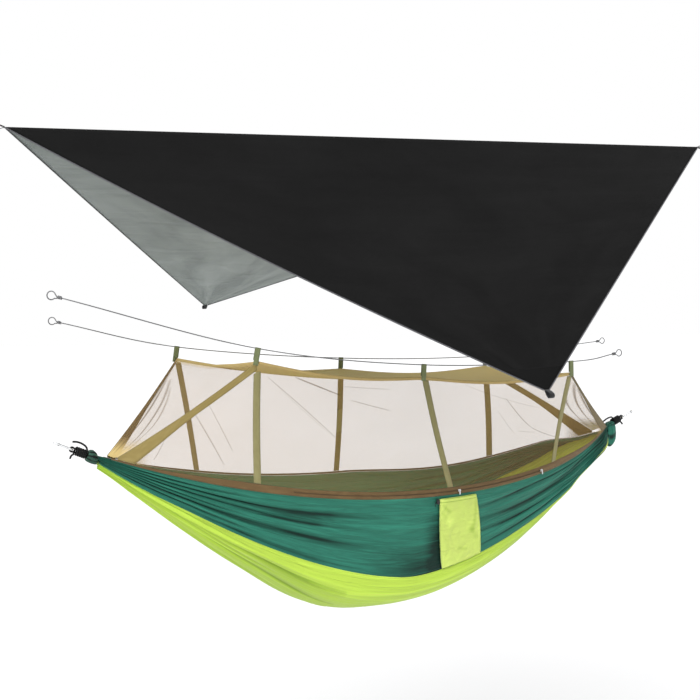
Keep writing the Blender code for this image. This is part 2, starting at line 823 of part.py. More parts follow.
def build_channel(end, name, material):
    """The hem channel at the cloth's end, scrunched along the rope loop that runs through it.

    The right one's bunched cloth droops below the rope.
    """
    droop = CHANNEL_DROOPS[end > 0]
    mouth_droop = MOUTH_DROOPS[end > 0]

    def ring_radius(share):
        swell = math.sin(math.pi * share) ** 0.7
        return mix(CHANNEL_MOUTH_RADIUS, CHANNEL_RADIUS, swell)

    bm = bmesh.new()
    rings = []
    for ring in range(CHANNEL_RINGS + 1):
        share = ring / CHANNEL_RINGS
        hang = droop * (DROOP_START_SHARE + share) * (1 - share ** DROOP_POWER) + mouth_droop * share
        loop = []
        for side in range(CHANNEL_SIDES):
            turn = 2 * math.pi * side / CHANNEL_SIDES
            radius = ring_radius(share) - FLUTE_DEPTH * (1 - math.cos(CHANNEL_FLUTES * turn)) / 2
            lower = max(-math.cos(turn), 0.0)
            height = radius * math.cos(turn) - hang * lower
            upright = (CHANNEL_GAP + height * math.sin(END_SLOPE)) / math.cos(END_SLOPE)
            along = mix(upright, CHANNEL_LENGTH, share)
            loop.append(bm.verts.new(end_point(end, along, radius * math.sin(turn), height)))
        rings.append([bm.edges.new((a, b)) for a, b in zip(loop, loop[1:] + loop[:1])])
    for first, second in zip(rings, rings[1:]):
        bmesh.ops.bridge_loops(bm, edges=first + second)
    bmesh.ops.holes_fill(bm, edges=rings[0] + rings[-1], sides=0)
    bmesh.ops.recalc_face_normals(bm, faces=bm.faces)
    body = object_from(bm, name)
    passage = tube("passage", rope_loop_path(end), ROPE_RADIUS + ROPE_GAP, cyclic=True)
    place(smooth(cut(body, [meshed(passage)])), material, name, rock_axis_point())


def tail_routes(end):
    """Tails of the lashing, as (along, across, height): the upper one, then the lower one."""
    if end < 0:
        upper = ((0.0510, -0.007, 0.0220), (0.060, -0.006, 0.0285), (0.075, -0.004, 0.0320),
                 (0.092, -0.002, 0.0315), (0.108, 0.0, 0.0265))
    else:
        upper = ((0.0470, -0.007, 0.0210), (0.040, -0.006, 0.0290), (0.020, -0.004, 0.0315),
                 (0.000, -0.002, 0.0290), (-0.022, 0.0, 0.0260))
    lower = ((0.0935, 0.0, -0.0335), (0.0930, 0.0015, -0.0270), (0.0910, 0.0045, -0.0205))
    return upper, lower


def build_ropes(end, prefix, material):
    """The rope loop, and the lashing wound round it with its two tails."""
    loop = rope_loop_path(end)
    place(tube(f"{prefix}_rope_loop", loop, ROPE_RADIUS, cyclic=True), material,
          axis_point=rock_axis_point())
    wind = ROPE_HALF_SPREAD + 2 * ROPE_RADIUS + ROPE_GAP
    turns = round(LASHING_TURNS * LASHING_POINTS)
    upper, lower = tail_routes(end)
    points = [end_point(end, *spot) for spot in lower]
    for step in range(turns + 1):
        turn = math.pi + 2 * math.pi * step / LASHING_POINTS
        along = LASHING_START + LASHING_PITCH * (LASHING_TURNS - step / LASHING_POINTS)
        points.append(end_point(end, along, -wind * math.sin(turn), wind * math.cos(turn)))
    points += [end_point(end, *spot) for spot in upper]
    least_gap(f"{prefix}_rope_lashing", points, ROPE_RADIUS, 4)
    place(tube(f"{prefix}_rope_lashing", points, ROPE_RADIUS, resolution=1), material,
          axis_point=rock_axis_point())


def carabiner_sides():
    """Circle centres along the line, and the slope of the straight sides between them."""
    basket = BAR_CENTRE + BASKET_RADIUS
    crown = BAR_CENTRE + CARABINER_LENGTH - 2 * BAR_RADIUS - CROWN_RADIUS
    lean = math.asin((BASKET_RADIUS - CROWN_RADIUS) / (crown - basket))
    return basket, crown, lean


def gate_line(distance, offset=0.0):
    """(along, across) on the gate's side, at a distance from the crown's end of the straight."""
    basket, crown, lean = carabiner_sides()
    radius = CROWN_RADIUS + offset
    start = Vector((crown + radius * math.sin(lean), -radius * math.cos(lean)))
    return start + Vector((-math.cos(lean), -math.sin(lean))) * distance


def gate_point(end, distance, offset=0.0, height=0.0):
    """A point on the gate's side in the design frame."""
    along, across = gate_line(distance, offset)
    return end_point(end, along, across, height)


def carabiner_path(end):
    """Centreline of the frame from its nose, round the basket, up the spine, round the crown."""
    basket, crown, lean = carabiner_sides()
    nose = GATE_CREST + GATE_LENGTH + GATE_GAP
    points = [gate_point(end, nose)]
    corners = ((basket, BASKET_RADIUS, -math.pi / 2 - lean, -3 * math.pi / 2 + lean),
               (crown, CROWN_RADIUS, math.pi / 2 - lean, -math.pi / 2 + lean))
    for centre, radius, first, last in corners:
        for step in range(CARABINER_ARC_STEPS + 1):
            turn = mix(first, last, step / CARABINER_ARC_STEPS)
            points.append(end_point(end, centre + radius * math.cos(turn),
                                    radius * math.sin(turn), 0))
    points.append(gate_point(end, GATE_CREST + TONGUE_REACH))
    return points


def gate_block(name, end, low, high, offset_low, offset_high, height_low, height_high):
    """A box laid along the gate's line."""
    start = gate_point(end, low)
    along = (gate_point(end, high) - start).normalized()
    across = (gate_point(end, low, offset_high) - gate_point(end, low, offset_low)).normalized()
    up = end_frame(end)[2]
    item = block(name, (0, offset_low, height_low), (high - low, offset_high, height_high))
    turn = Matrix((along, across, up)).transposed().to_4x4()
    item.data.transform(Matrix.Translation(start) @ turn)
    if turn.determinant() < 0:
        item.data.flip_normals()
    return item


def build_carabiner(end, prefix, materials):
    """Frame, gate, rivet and gate spring of one carabiner."""
    pivot = gate_point(end, GATE_CREST)
    up = end_frame(end)[2]
    wide = 2 * BAR_RADIUS
    bar = meshed(tube("bar", carabiner_path(end), BAR_RADIUS))
    cheek = TONGUE_THICKNESS / 2
    cuts = [gate_block("cheek", end, GATE_CREST - SHOULDER_REACH, GATE_CREST + TONGUE_REACH * 2,
                       -wide, wide, low, high)
            for low, high in ((cheek, wide), (-wide, -cheek))]
    hole = RIVET_RADIUS + RIVET_CLEARANCE
    cuts.append(rod("hole", pivot - up * wide, pivot + up * wide, hole))
    place(smooth(cut(bar, cuts)), materials["steel"], f"{prefix}_carabiner_frame")

    heel = gate_point(end, GATE_CREST - HEEL_REACH)
    tip = gate_point(end, GATE_CREST + GATE_LENGTH)
    gate = rod("gate", heel, tip, GATE_RADIUS)
    slot = gate_block("slot", end, GATE_CREST - HEEL_REACH - CUT_OVERRUN, GATE_CREST + SLOT_REACH,
                      -wide, wide, -SLOT_WIDTH / 2, SLOT_WIDTH / 2)
    hole_cut = rod("hole", pivot - up * wide, pivot + up * wide, hole)
    bore = rod("bore", gate_point(end, GATE_CREST + SLOT_REACH - CUT_OVERRUN),
               gate_point(end, GATE_CREST + SLOT_REACH + SPRING_BORE_LENGTH), SPRING_BORE, 10)
    place(smooth(cut(gate, [slot, hole_cut, bore])), materials["steel"],
          f"{prefix}_carabiner_gate", pivot)

    half = GATE_RADIUS + RIVET_HEAD_GAP
    shank = rod("shank", pivot - up * (half + RIVET_HEAD_HEIGHT / 2),
                pivot + up * (half + RIVET_HEAD_HEIGHT / 2), RIVET_RADIUS)
    heads = [rod("head", pivot + up * sign * half, pivot + up * sign * (half + RIVET_HEAD_HEIGHT),
                 RIVET_HEAD_RADIUS) for sign in (-1, 1)]
    place(smooth(joined(f"{prefix}_gate_rivet", [shank, *heads])), materials["dark"])

    first = gate_point(end, GATE_CREST + SLOT_REACH + SPRING_WIRE)
    last = gate_point(end, GATE_CREST + SLOT_REACH + SPRING_BORE_LENGTH - 2 * SPRING_WIRE)
    line = (last - first).normalized()
    lateral = line.cross(up)
    coil = []
    for step in range(SPRING_TURNS * SPRING_POINTS + 1):
        turn = 2 * math.pi * step / SPRING_POINTS
        centre = mix(first, last, step / (SPRING_TURNS * SPRING_POINTS))
        coil.append(centre + up * SPRING_RADIUS * math.cos(turn)
                    + lateral * SPRING_RADIUS * math.sin(turn))
    place(tube(f"{prefix}_gate_spring", coil, SPRING_WIRE, resolution=0), materials["spring"],
          axis_point=pivot)


def build_ends(materials):
    """Everything that hangs the cloth at its two ends."""
    for end, prefix in ((-1, "left"), (1, "right")):
        build_channel(end, f"{prefix}_end_channel", materials["channel"])
        build_ropes(end, prefix, materials["rope"])
        build_carabiner(end, prefix, materials)


# Zip on the near band: everything on it turns about one far axis, the centre of the rim's arc

def zip_axis():
    """Centre and direction of the axis that the zip's arc turns about."""
    tilt = Vector((0, math.cos(RIM_ARC_TILT), math.sin(RIM_ARC_TILT)))
    return zip_point(0) + tilt * RIM_ARC_RADIUS, Vector((0, -tilt.z, tilt.y))


def zip_point(x):
    """A point of the zip coil's centreline."""
    clear = ZIP_COIL_RADIUS + ZIP_COIL_GAP
    return rim_point(x, -1) + Vector((0, -clear, BAND_HEIGHT / 2))


def on_zip(item, x):
    """Turn an object that was made at the middle of the zip to its own place along it."""
    centre, axis = zip_axis()
    turn = Matrix.Rotation(math.asin(x / RIM_ARC_RADIUS), 4, axis)
    item.data.transform(Matrix.Translation(centre) @ turn @ Matrix.Translation(-centre))
    return item


def build_zip(materials):
    """Coil, sliders and their pulls."""
    middle = zip_point(0)
    points = [zip_point(mix(ZIP_LEFT_END, ZIP_RIGHT_END, step / ZIP_STEPS))
              for step in range(ZIP_STEPS + 1)]
    place(tube("zip_coil", points, ZIP_COIL_RADIUS, resolution=1), materials["zip"],
          axis_point=rock_axis_point())
    back = middle.y + ZIP_COIL_RADIUS
    front = back - SLIDER_DEPTH
    half = SLIDER_LENGTH / 2
    bar_y = front - POST_HEIGHT + PULL_BAR_RADIUS + POST_WIDTH / 2
    for name, x in (("left", LEFT_SLIDER_X), ("right", RIGHT_SLIDER_X)):
        body = block("body", (-half, front, middle.z - SLIDER_HEIGHT / 2),
                     (half, back, middle.z + SLIDER_HEIGHT / 2), SLIDER_BEVEL)
        posts = [block("post", (side * half * 0.5 - POST_WIDTH / 2 + side * POST_WIDTH,
                                front - POST_HEIGHT, middle.z - POST_WIDTH / 2),
                       (side * half * 0.5 + POST_WIDTH / 2 + side * POST_WIDTH,
                        front + CUT_OVERRUN / 2, middle.z + POST_WIDTH / 2))
                 for side in (-1, 1)]
        bar = rod("bar", (-half * 0.5 - POST_WIDTH, bar_y, middle.z),
                  (half * 0.5 + POST_WIDTH, bar_y, middle.z), PULL_BAR_RADIUS, 10)
        solid = joined("solid", [body, *posts, bar])
        groove = ZIP_COIL_RADIUS + SLIDER_CLEARANCE
        channel = block("channel", (-half - CUT_OVERRUN, middle.y - groove, middle.z - groove),
                        (half + CUT_OVERRUN, back + CUT_OVERRUN, middle.z + groove))
        slider = on_zip(cut(solid, [channel]), x)
        place(slider, materials["zip_metal"], f"zip_{name}_slider", zip_axis()[0])

        wide = PULL_WIDTH / 2
        knuckle = rod("knuckle", (-wide, bar_y, middle.z), (wide, bar_y, middle.z),
                      PULL_KNUCKLE_RADIUS, 12)
        blade = block("blade", (-wide, bar_y - PULL_THICKNESS / 2, middle.z - PULL_LENGTH),
                      (wide, bar_y + PULL_THICKNESS / 2, middle.z - PULL_BAR_RADIUS))
        bore = rod("bore", (-2 * wide, bar_y, middle.z), (2 * wide, bar_y, middle.z),
                   PULL_BAR_RADIUS + PULL_CLEARANCE, 12)
        pull = on_zip(cut(joined("pull", [knuckle, blade]), [bore]), x)
        place(pull, materials["zip_metal"], f"zip_{name}_pull", pull_axis(x)[0])


def pull_axis(x):
    """A point and the direction of a pull's own hinge."""
    middle = zip_point(0)
    front = middle.y + ZIP_COIL_RADIUS - SLIDER_DEPTH
    spot = Vector((0, front - POST_HEIGHT + PULL_BAR_RADIUS + POST_WIDTH / 2, middle.z))
    centre, axis = zip_axis()
    turn = Matrix.Rotation(math.asin(x / RIM_ARC_RADIUS), 4, axis)
    return centre + turn @ (spot - centre), turn.to_3x3() @ Vector((1, 0, 0))


# Pocket

def pocket_surface(p, q):
    """The near panel's outer face behind the pocket; q runs down from the rim, and leans to the right."""
    x = mix(POCKET_LEFT_X, POCKET_RIGHT_X, p) + POCKET_LEAN * q
    return side_point(x, mix(POCKET_TOP_SHARE, POCKET_BOTTOM_SHARE, q), -1)


def build_pocket(materials):
    """The bag, open at its top, and the drawcord with its lock at the upper left corner."""
    out = Vector((0, -1, 0))
    bag = meshed(sheet("bag", raised(pocket_surface, POCKET_GAP, out), 4, 6, POCKET_DEPTH, out,
                       grow_out=True))
    width = POCKET_RIGHT_X - POCKET_LEFT_X
    height = (pocket_surface(0.5, 1) - pocket_surface(0.5, 0)).length
    side_share = POCKET_MARGIN / width
    low_share = POCKET_MARGIN / height

    def inner(p, q):
        return pocket_surface(mix(side_share, 1 - side_share, p), mix(-2 * low_share, 1 - low_share, q))

    hollow = meshed(sheet("hollow", raised(inner, POCKET_GAP + POCKET_WALL, out), 4, 6,
                          POCKET_DEPTH - 2 * POCKET_WALL, out, grow_out=True))
    place(cut(bag, [hollow]), materials["pocket"], "pocket_bag", rock_axis_point())

    corner = pocket_surface(0, 0)
    edge = POCKET_LEFT_X + POCKET_LEAN * DRAWCORD_DROP / height
    x = edge - LOCK_GAP - LOCK_RADIUS
    y = corner.y - POCKET_GAP - POCKET_DEPTH / 2
    cord_z = corner.z - DRAWCORD_DROP
    low = cord_z - LOCK_HEIGHT / 2
    high = low + LOCK_HEIGHT
    route = ((edge - POCKET_GAP / 2, y, cord_z), (x, y, cord_z),
             (x - LOCK_RADIUS - LOCK_GAP / 2, y, cord_z),
             (x - LOCK_RADIUS - LOCK_GAP * 1.5, y, cord_z - LOCK_GAP),
             (x - LOCK_RADIUS - LOCK_GAP * 2, y, cord_z - LOCK_RADIUS),
             (x - LOCK_RADIUS - LOCK_GAP * 1.9, y, cord_z - LOCK_RADIUS * 2.4))
    place(tube("pocket_drawcord", route, DRAWCORD_RADIUS), materials["rope"],
          axis_point=rock_axis_point())
    hole = DRAWCORD_RADIUS + CORD_HOLE_CLEARANCE
    body = rod("body", (x, y, low), (x, y, high), LOCK_RADIUS)
    bore = rod("bore", (x, y, low + LOCK_FLOOR), (x, y, high + CUT_OVERRUN), LOCK_BORE)
    cross = rod("cross", (x - 2 * LOCK_RADIUS, y, cord_z), (x + 2 * LOCK_RADIUS, y, cord_z), hole, 12)
    place(smooth(cut(body, [bore, cross])), materials["lock"], "pocket_cord_lock",
          rock_axis_point())
    foot = low + LOCK_FLOOR + LOCK_SPRING_HEIGHT + 2 * SEAM_GAP
    plunger = rod("plunger", (x, y, foot), (x, y, high + PLUNGER_RISE), PLUNGER_RADIUS)
    slot = block("slot", (x - 2 * LOCK_RADIUS, y - hole, cord_z - hole),
                 (x + 2 * LOCK_RADIUS, y + hole, cord_z + hole + PLUNGER_TRAVEL))
    place(smooth(cut(plunger, [slot])), materials["lock"], "cord_lock_plunger", Vector((x, y, foot)))
    coil = []
    count = LOCK_SPRING_TURNS * SPRING_POINTS
    for step in range(count + 1):
        turn = 2 * math.pi * step / SPRING_POINTS
        rise = mix(LOCK_SPRING_WIRE + SEAM_GAP, LOCK_SPRING_HEIGHT - LOCK_SPRING_WIRE, step / count)
        coil.append(Vector((x + LOCK_SPRING_RADIUS * math.cos(turn),
                            y + LOCK_SPRING_RADIUS * math.sin(turn), low + LOCK_FLOOR + rise)))
    place(tube("cord_lock_spring", coil, LOCK_SPRING_WIRE, resolution=0), materials["spring"],
          axis_point=rock_axis_point())


# Tarp

def flap_frame(side):
    """Corners, altitudes and normal of one half of the tarp."""
    left = Vector(TARP_LEFT)
    right = Vector(TARP_RIGHT)
    corner = Vector(TARP_NEAR if side < 0 else TARP_FAR)
    normal = (right - left).cross(corner - left)
    area = normal.length
    altitudes = (area / (corner - right).length, area / (corner - left).length,
                 area / (right - left).length)
    normal.normalize()
    if normal.z < 0:
        normal.negate()
    return (left, right, corner), altitudes, normal


def flap_point(side, right_share, corner_share):
    """A point of one half, given by its shares of the right ridge corner and the low corner."""
    (left, right, corner), altitudes, normal = flap_frame(side)
    left_share = 1 - right_share - corner_share
    point = left * left_share + right * right_share + corner * corner_share
    dip = 27 * max(left_share, 0.0) * max(right_share, 0.0) * max(corner_share, 0.0)
    droop = TARP_NEAR_DROOP if side < 0 else TARP_FAR_DROOP
    edge = 4 * max(left_share, 0.0) * max(corner_share, 0.0)
    return point - normal * (TARP_SAG * dip + droop * edge)


def flap_shares(side, base, tip):
    """Shares of the low corner at a distance from the ridge and at a distance from the corner."""
    altitude = flap_frame(side)[1][2]
    return base / altitude, 1 - tip / altitude


def flap_surface(side, margin, first, last):
    """One half's underside: rows run along the ridge, and margin is kept free at both edges."""
    altitudes = flap_frame(side)[1]

    def surface(p, q):
        corner_share = mix(first, last, q)
        right_share = mix(margin / altitudes[1], 1 - corner_share - margin / altitudes[0], p)
        return flap_point(side, right_share, corner_share)

    return surface


def build_tarp_half(side, materials):
    """One half of the tarp with its corner patch and corner loop."""
    name = f"tarp_{side_name(side)}"
    corners, altitudes, normal = flap_frame(side)
    ridge = Vector(TARP_LEFT)
    first, last = flap_shares(side, TARP_RIDGE_GAP / 2, TARP_TIP)
    item = sheet(f"{name}_half", flap_surface(side, 0.0, first, last), TARP_COLUMNS, TARP_ROWS,
                 TARP_THICKNESS, normal, grow_out=True)
    place(item, materials["tarp"], axis_point=ridge)

    patch_last = flap_shares(side, TARP_RIDGE_GAP, TARP_TIP + TARP_GAP)[1]
    patch_first = patch_last - PATCH_REACH / altitudes[2]
    patch = raised(flap_surface(side, PATCH_MARGIN, patch_first, patch_last),
                   TARP_THICKNESS + TARP_GAP, normal)
    item = sheet(f"{name}_patch", patch, 3, 3, PATCH_THICKNESS, normal, grow_out=True)
    place(item, materials["patch"], axis_point=ridge)

    tip = mix(flap_point(side, 0.0, last), flap_point(side, 1 - last, last), 0.5)
    down = (corners[1] - corners[0]).cross(normal).normalized()
    if down.dot(tip - corners[0]) < 0:
        down.negate()
    loop = corner_loop(f"{name}_loop", tip + down * TARP_GAP, down, normal)
    place(loop, materials["webbing_black"], axis_point=ridge)


def corner_loop(name, root, out, normal):
    """A closed webbing loop that starts at root and points out, its width across both."""
    across = out.cross(normal).normalized()
    lift = across.cross(out).normalized()
    inner = LOOP_HALF_HEIGHT
    points = []
    for step in range(LOOP_ARC_STEPS + 1):
        turn = -math.pi / 2 + math.pi * step / LOOP_ARC_STEPS
        points.append((LOOP_REACH - inner + inner * math.cos(turn), inner * math.sin(turn)))
    outline = [(0.0, -LOOP_THICKNESS), *points, (0.0, LOOP_THICKNESS)]
    bm = bmesh.new()
    rings = []
    for index, (reach, height) in enumerate(outline):
        before = Vector(outline[index - 1])
        after = Vector(outline[(index + 1) % len(outline)])
        tangent = (after - before).normalized()
        push = Vector((tangent.y, -tangent.x)) * LOOP_THICKNESS / 2
        ring = []
        for sign, wide in ((1, -1), (1, 1), (-1, 1), (-1, -1)):
            spot = Vector((reach, height)) + push * sign
            ring.append(bm.verts.new(root + out * spot.x + lift * spot.y
                                     + across * wide * LOOP_WIDTH / 2))
        rings.append(ring)
    for first, second in zip(rings, rings[1:] + rings[:1]):
        for i in range(4):
            bm.faces.new((first[i], first[(i + 1) % 4], second[(i + 1) % 4], second[i]))
    bmesh.ops.recalc_face_normals(bm, faces=bm.faces)
    return object_from(bm, name)


def build_tarp(materials):
    """Both halves, and the loops at the two ridge corners."""
    for side in (-1, 1):
        build_tarp_half(side, materials)
    left = Vector(TARP_LEFT)
    right = Vector(TARP_RIGHT)
    ridge = (right - left).normalized()
    above = Vector((0, 0, 1))
    for name, corner, out in (("left", left, -ridge), ("right", right, ridge)):
        root = corner + out * (TARP_GAP - TARP_RIDGE_GAP / 2)
        loop = corner_loop(f"tarp_{name}_loop", root, out, above)
        place(loop, materials["webbing_black"])


def build():
    """Build the whole hammock tent."""
    materials = {
        "green": make_material("dark_green_cloth", (0.020, 0.170, 0.120), 0.55),
        "lime": make_material("lime_cloth", (0.480, 0.790, 0.070), 0.55),
        "pocket": make_material("pocket_cloth", (0.560, 0.820, 0.150), 0.55),
        "channel": make_material("channel_cloth", (0.020, 0.060, 0.045), 0.60),
        "net": make_material("net", (0.640, 0.560, 0.400), 0.70),
        "band": make_material("rim_tape", (0.200, 0.120, 0.055), 0.70),
        "tape": make_material("net_tape", (0.260, 0.230, 0.090), 0.70),
        "slant": make_material("slanted_tape", (0.330, 0.260, 0.110), 0.70),
        "webbing": make_material("hanger_webbing", (0.100, 0.140, 0.065), 0.75),
        "cord": make_material("grey_cord", (0.300, 0.300, 0.310), 0.70),
        "rope": make_material("black_rope", (0.012, 0.012, 0.013), 0.75),
        "steel": make_material("bright_steel", (0.780, 0.790, 0.800), 0.22, 1.0),
        "dark": make_material("dark_steel", (0.030, 0.030, 0.032), 0.40, 1.0),
        "spring": make_material("spring_steel", (0.450, 0.450, 0.460), 0.35, 1.0),
        "zip": make_material("zip_nylon", (0.090, 0.060, 0.030), 0.60),
        "zip_metal": make_material("zip_metal", (0.700, 0.700, 0.710), 0.30, 1.0),
        "lock": make_material("black_plastic", (0.015, 0.015, 0.016), 0.45),
        "tarp": make_material("tarp_cloth", (0.014, 0.014, 0.016), 0.60),
        "patch": make_material("tarp_patch", (0.010, 0.010, 0.011), 0.65),
        "webbing_black": make_material("black_webbing", (0.012, 0.012, 0.013), 0.75),
    }
    build_cloth(materials)
    build_rim_bands(materials)
    build_net(materials)
    build_strips(materials)
    build_ridge_cords(materials)
    build_hangers(materials)
    build_ends(materials)
    build_zip(materials)
    build_pocket(materials)
    build_tarp(materials)


clear_scene()
ROOT = bpy.data.objects.new("hammock_tent", None)
bpy.context.scene.collection.objects.link(ROOT)
build()
ROOT.location = -end_point(-1, hang_reach(), 0, 0)
bpy.context.view_layer.update()
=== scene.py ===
"""Looks of the hammock tent: cloth, net, tapes, cords, hardware and tarp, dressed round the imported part."""
from math import asin, cos, floor, pi, radians, sin, sqrt, tan, tau

import bmesh
import bpy
from mathutils import Matrix, Vector, noise


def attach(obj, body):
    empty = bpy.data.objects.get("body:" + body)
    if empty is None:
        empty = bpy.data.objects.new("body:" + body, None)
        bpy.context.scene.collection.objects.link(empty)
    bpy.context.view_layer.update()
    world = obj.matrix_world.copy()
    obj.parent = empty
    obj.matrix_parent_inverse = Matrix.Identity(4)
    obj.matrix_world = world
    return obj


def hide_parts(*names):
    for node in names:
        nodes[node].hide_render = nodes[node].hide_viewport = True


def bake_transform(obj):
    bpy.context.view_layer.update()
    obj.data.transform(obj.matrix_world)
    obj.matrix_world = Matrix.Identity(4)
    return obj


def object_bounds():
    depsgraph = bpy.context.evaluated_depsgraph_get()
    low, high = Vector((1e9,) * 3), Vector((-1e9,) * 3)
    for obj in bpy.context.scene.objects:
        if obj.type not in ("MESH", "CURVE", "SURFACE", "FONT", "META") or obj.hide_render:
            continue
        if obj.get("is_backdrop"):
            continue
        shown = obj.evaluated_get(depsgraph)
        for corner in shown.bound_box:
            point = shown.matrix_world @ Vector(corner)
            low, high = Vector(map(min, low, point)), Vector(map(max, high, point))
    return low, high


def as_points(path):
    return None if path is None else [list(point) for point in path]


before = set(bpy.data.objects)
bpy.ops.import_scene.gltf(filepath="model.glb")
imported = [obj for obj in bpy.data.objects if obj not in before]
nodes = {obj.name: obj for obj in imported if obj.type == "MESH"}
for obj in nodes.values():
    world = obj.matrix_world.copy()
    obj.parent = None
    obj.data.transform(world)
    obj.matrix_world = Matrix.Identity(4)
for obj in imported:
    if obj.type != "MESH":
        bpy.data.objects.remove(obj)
CAD_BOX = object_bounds()

UP = Vector((0, 0, 1))

# The design's zero, midway between the two gathered ends, in the row frame
ZERO = Vector((1.34372, 0.0, -0.06525))

# Camera and light; each light has a name, strength, angle and turn, both in degrees
CAMERA_LENS = 63.34
CAMERA_SENSOR = 36.0
CAMERA_REACH = 200.0
CAMERA_PLACE = (-1.17728, -4.3591, 0.51185)
CAMERA_DIP = 0.0406
CAMERA_TURN = -0.50
LIGHTS = (("key", 1.25, 40, (50, 0, -48)), ("fill", 0.45, 70, (62, 0, 20)), ("back", 0.35, 60, (40, 0, 160)))
WHITE = (1.0, 1.0, 1.0, 1.0)
SURROUNDINGS_LIGHT = (0.60, 0.60, 0.61, 1.0)
FLOOR_PLACE = (1.3, 0.0, -1.95)
FLOOR_HALF_SIZE = 60.0
FLOOR_GLOW = 0.30

# Hammock cloth
HALF_SPAN = 1.19
RIM_HALF_WIDTH = 0.38
RIM_SAG = 0.18
RIM_ARC_REACH = 0.60
RIM_ARC_RADIUS = 2.18
RIM_ARC_TILT = radians(33.0)
FAR_RIM_DROP = 0.038
FAR_DROP_PLACE = 0.61
FAR_DROP_REACH = 0.58
FAR_NECK_DROP = 0.028
SEAM_SAG = 0.484
SEAM_LOW_SHIFT = -0.05
SEAM_CURVE_SHARE = 1.6
SEAM_WIDTH_SHARE = 0.885
BELLY_SHARE = 0.20
NECK_FLARE = 0.045
FLARE_START_SHARE = 0.70
BOTTOM_SAG = 0.645
BOTTOM_PLACES = (-1.0, -0.80, -0.55, -0.30, -0.10, 0.15, 0.45, 0.70, 0.88, 0.96, 1.0)
BOTTOM_DROPS = (0.0, 0.266, 0.609, 0.901, 0.957, 0.906, 0.677, 0.298, 0.158, 0.090, 0.043)
NECK_HALF_WIDTH = 0.017
NECK_TOP = 0.010
NECK_SEAM_DROP = 0.006
RIGHT_SEAM_DROP = 0.040
RIGHT_SEAM_POWER = 6
NECK_BOTTOM_DROP = 0.037
STATION_CROWD_SHARE = 0.20
BAND_HEIGHT = 0.030
BAND_LIFT = 0.0009
BAND_THICKNESS = 0.0012
CLOTH_THICKNESS = 0.0007
SIDE_CUT = (2.72, 0.31)
CENTRE_CUT = (2.74, 0.81)
SIDE_SEAMS = (0.006, 0.304)
CENTRE_SEAMS = (0.006, 0.804)
SIDE_THREAD_TONE = (60, 120, 100)
DEEPEST_PLEAT = 0.020
SMALL_PLEATS_FROM = 0.40
SMALL_PLEATS_FULL = 0.80
PANEL_COLUMNS = 300

# Net tent
NET_GAP = 0.0007
NET_TOP_HALF_WIDTH = 0.35
NET_WALL_SAG = 0.010
NET_EDGE_SAG = 0.026
NET_SLANT_SAG = 0.010
FAR_RIGHT_SLANT_SAG = -0.004
NET_ROOF_SAG = 0.018
NET_APEX_HEIGHT = 0.020
NET_REACH = {-1: 1.131, 1: 1.150}
FEET = {-1: (-0.680, 0.097, 0.662), 1: (-0.690, 0.000, 0.735)}
HANGERS = {-1: (-0.705, -0.007, 0.706), 1: (-0.747, 0.007, 0.765)}
CORD_HEIGHTS = {-1: (0.404, 0.328, 0.324), 1: (0.387, 0.325, 0.318)}
CORD_LEFT = {-1: (-1.426, 0.587), 1: (-1.236, 0.492)}
CORD_RIGHT = {-1: (0.942, 0.352), 1: (1.442, 0.376)}
NET_WALL_CUT = (2.3, 0.46)
NET_ROOF_CUT = (2.5, 0.70)
# Painted shade along the netting's creases
NET_CREASE_SHADE_TONE = (104, 90, 62)
ROOF_EDGE_GAP = 0.0015
TAPE_WIDTH = 0.026
TAPE_LIFT = 0.0008
TAPE_THICKNESS = 0.0010
TAPE_END_GAP = 0.0018
STITCH_MARGIN = 0.0022
BINDING_WIDTH = 0.012
SLANT_BAND_WIDTH = 0.036
RIDGE_CORD_RADIUS = 0.002
EYE_RADIUS = 0.014
EYE_STEPS = 24
WHIP_TURNS = 3
WHIP_STEPS = 12
WHIP_PITCH = 0.0045
WHIP_GAP = 0.0003
HANGER_DROP = 0.045
HANGER_WIDTH = 0.020
HANGER_THICKNESS = 0.0012
HANGER_OVERLAP = 0.016
HANGER_CORD_GAP = 0.0005

# Suspension
END_SLOPE = radians(23.0)
CHANNEL_LENGTH = 0.040
CHANNEL_DROOPS = {-1: 0.0, 1: 0.070}
DROOP_START_SHARE = 0.75
DROOP_POWER = 1.5
MOUTH_DROOPS = {-1: 0.0, 1: 0.032}
CHANNEL_CUT = (0.16, 0.05)
CHANNEL_RADII = (0.0185, 0.0250)
CHANNEL_WALL_SHARE = 0.8
FLUTE_BEAT = 4.5
FLUTE_DEPTH = 0.0030
ROPE_RADIUS = 0.0035
ROPE_GAP = 0.0006
ROPE_HALF_SPREAD = 0.006
ROPE_INNER_END = 0.020
LASHING_START = 0.0444
LASHING_TURNS = 5.5
LASHING_PITCH = 0.0077
LASHING_STEPS = 24
LOWER_TAIL = ((0.0935, 0.0, -0.0335), (0.0930, 0.0015, -0.0270), (0.0910, 0.0045, -0.0205))
UPPER_TAILS = {-1: ((0.0510, -0.007, 0.0220), (0.060, -0.006, 0.0285), (0.075, -0.004, 0.0320),
                    (0.092, -0.002, 0.0315), (0.108, 0.0, 0.0265)),
               1: ((0.0470, -0.007, 0.0210), (0.040, -0.006, 0.0290), (0.020, -0.004, 0.0315),
                   (0.000, -0.002, 0.0290), (-0.022, 0.0, 0.0260))}
BAR_CENTRE = 0.099
BAR_RADIUS = 0.004

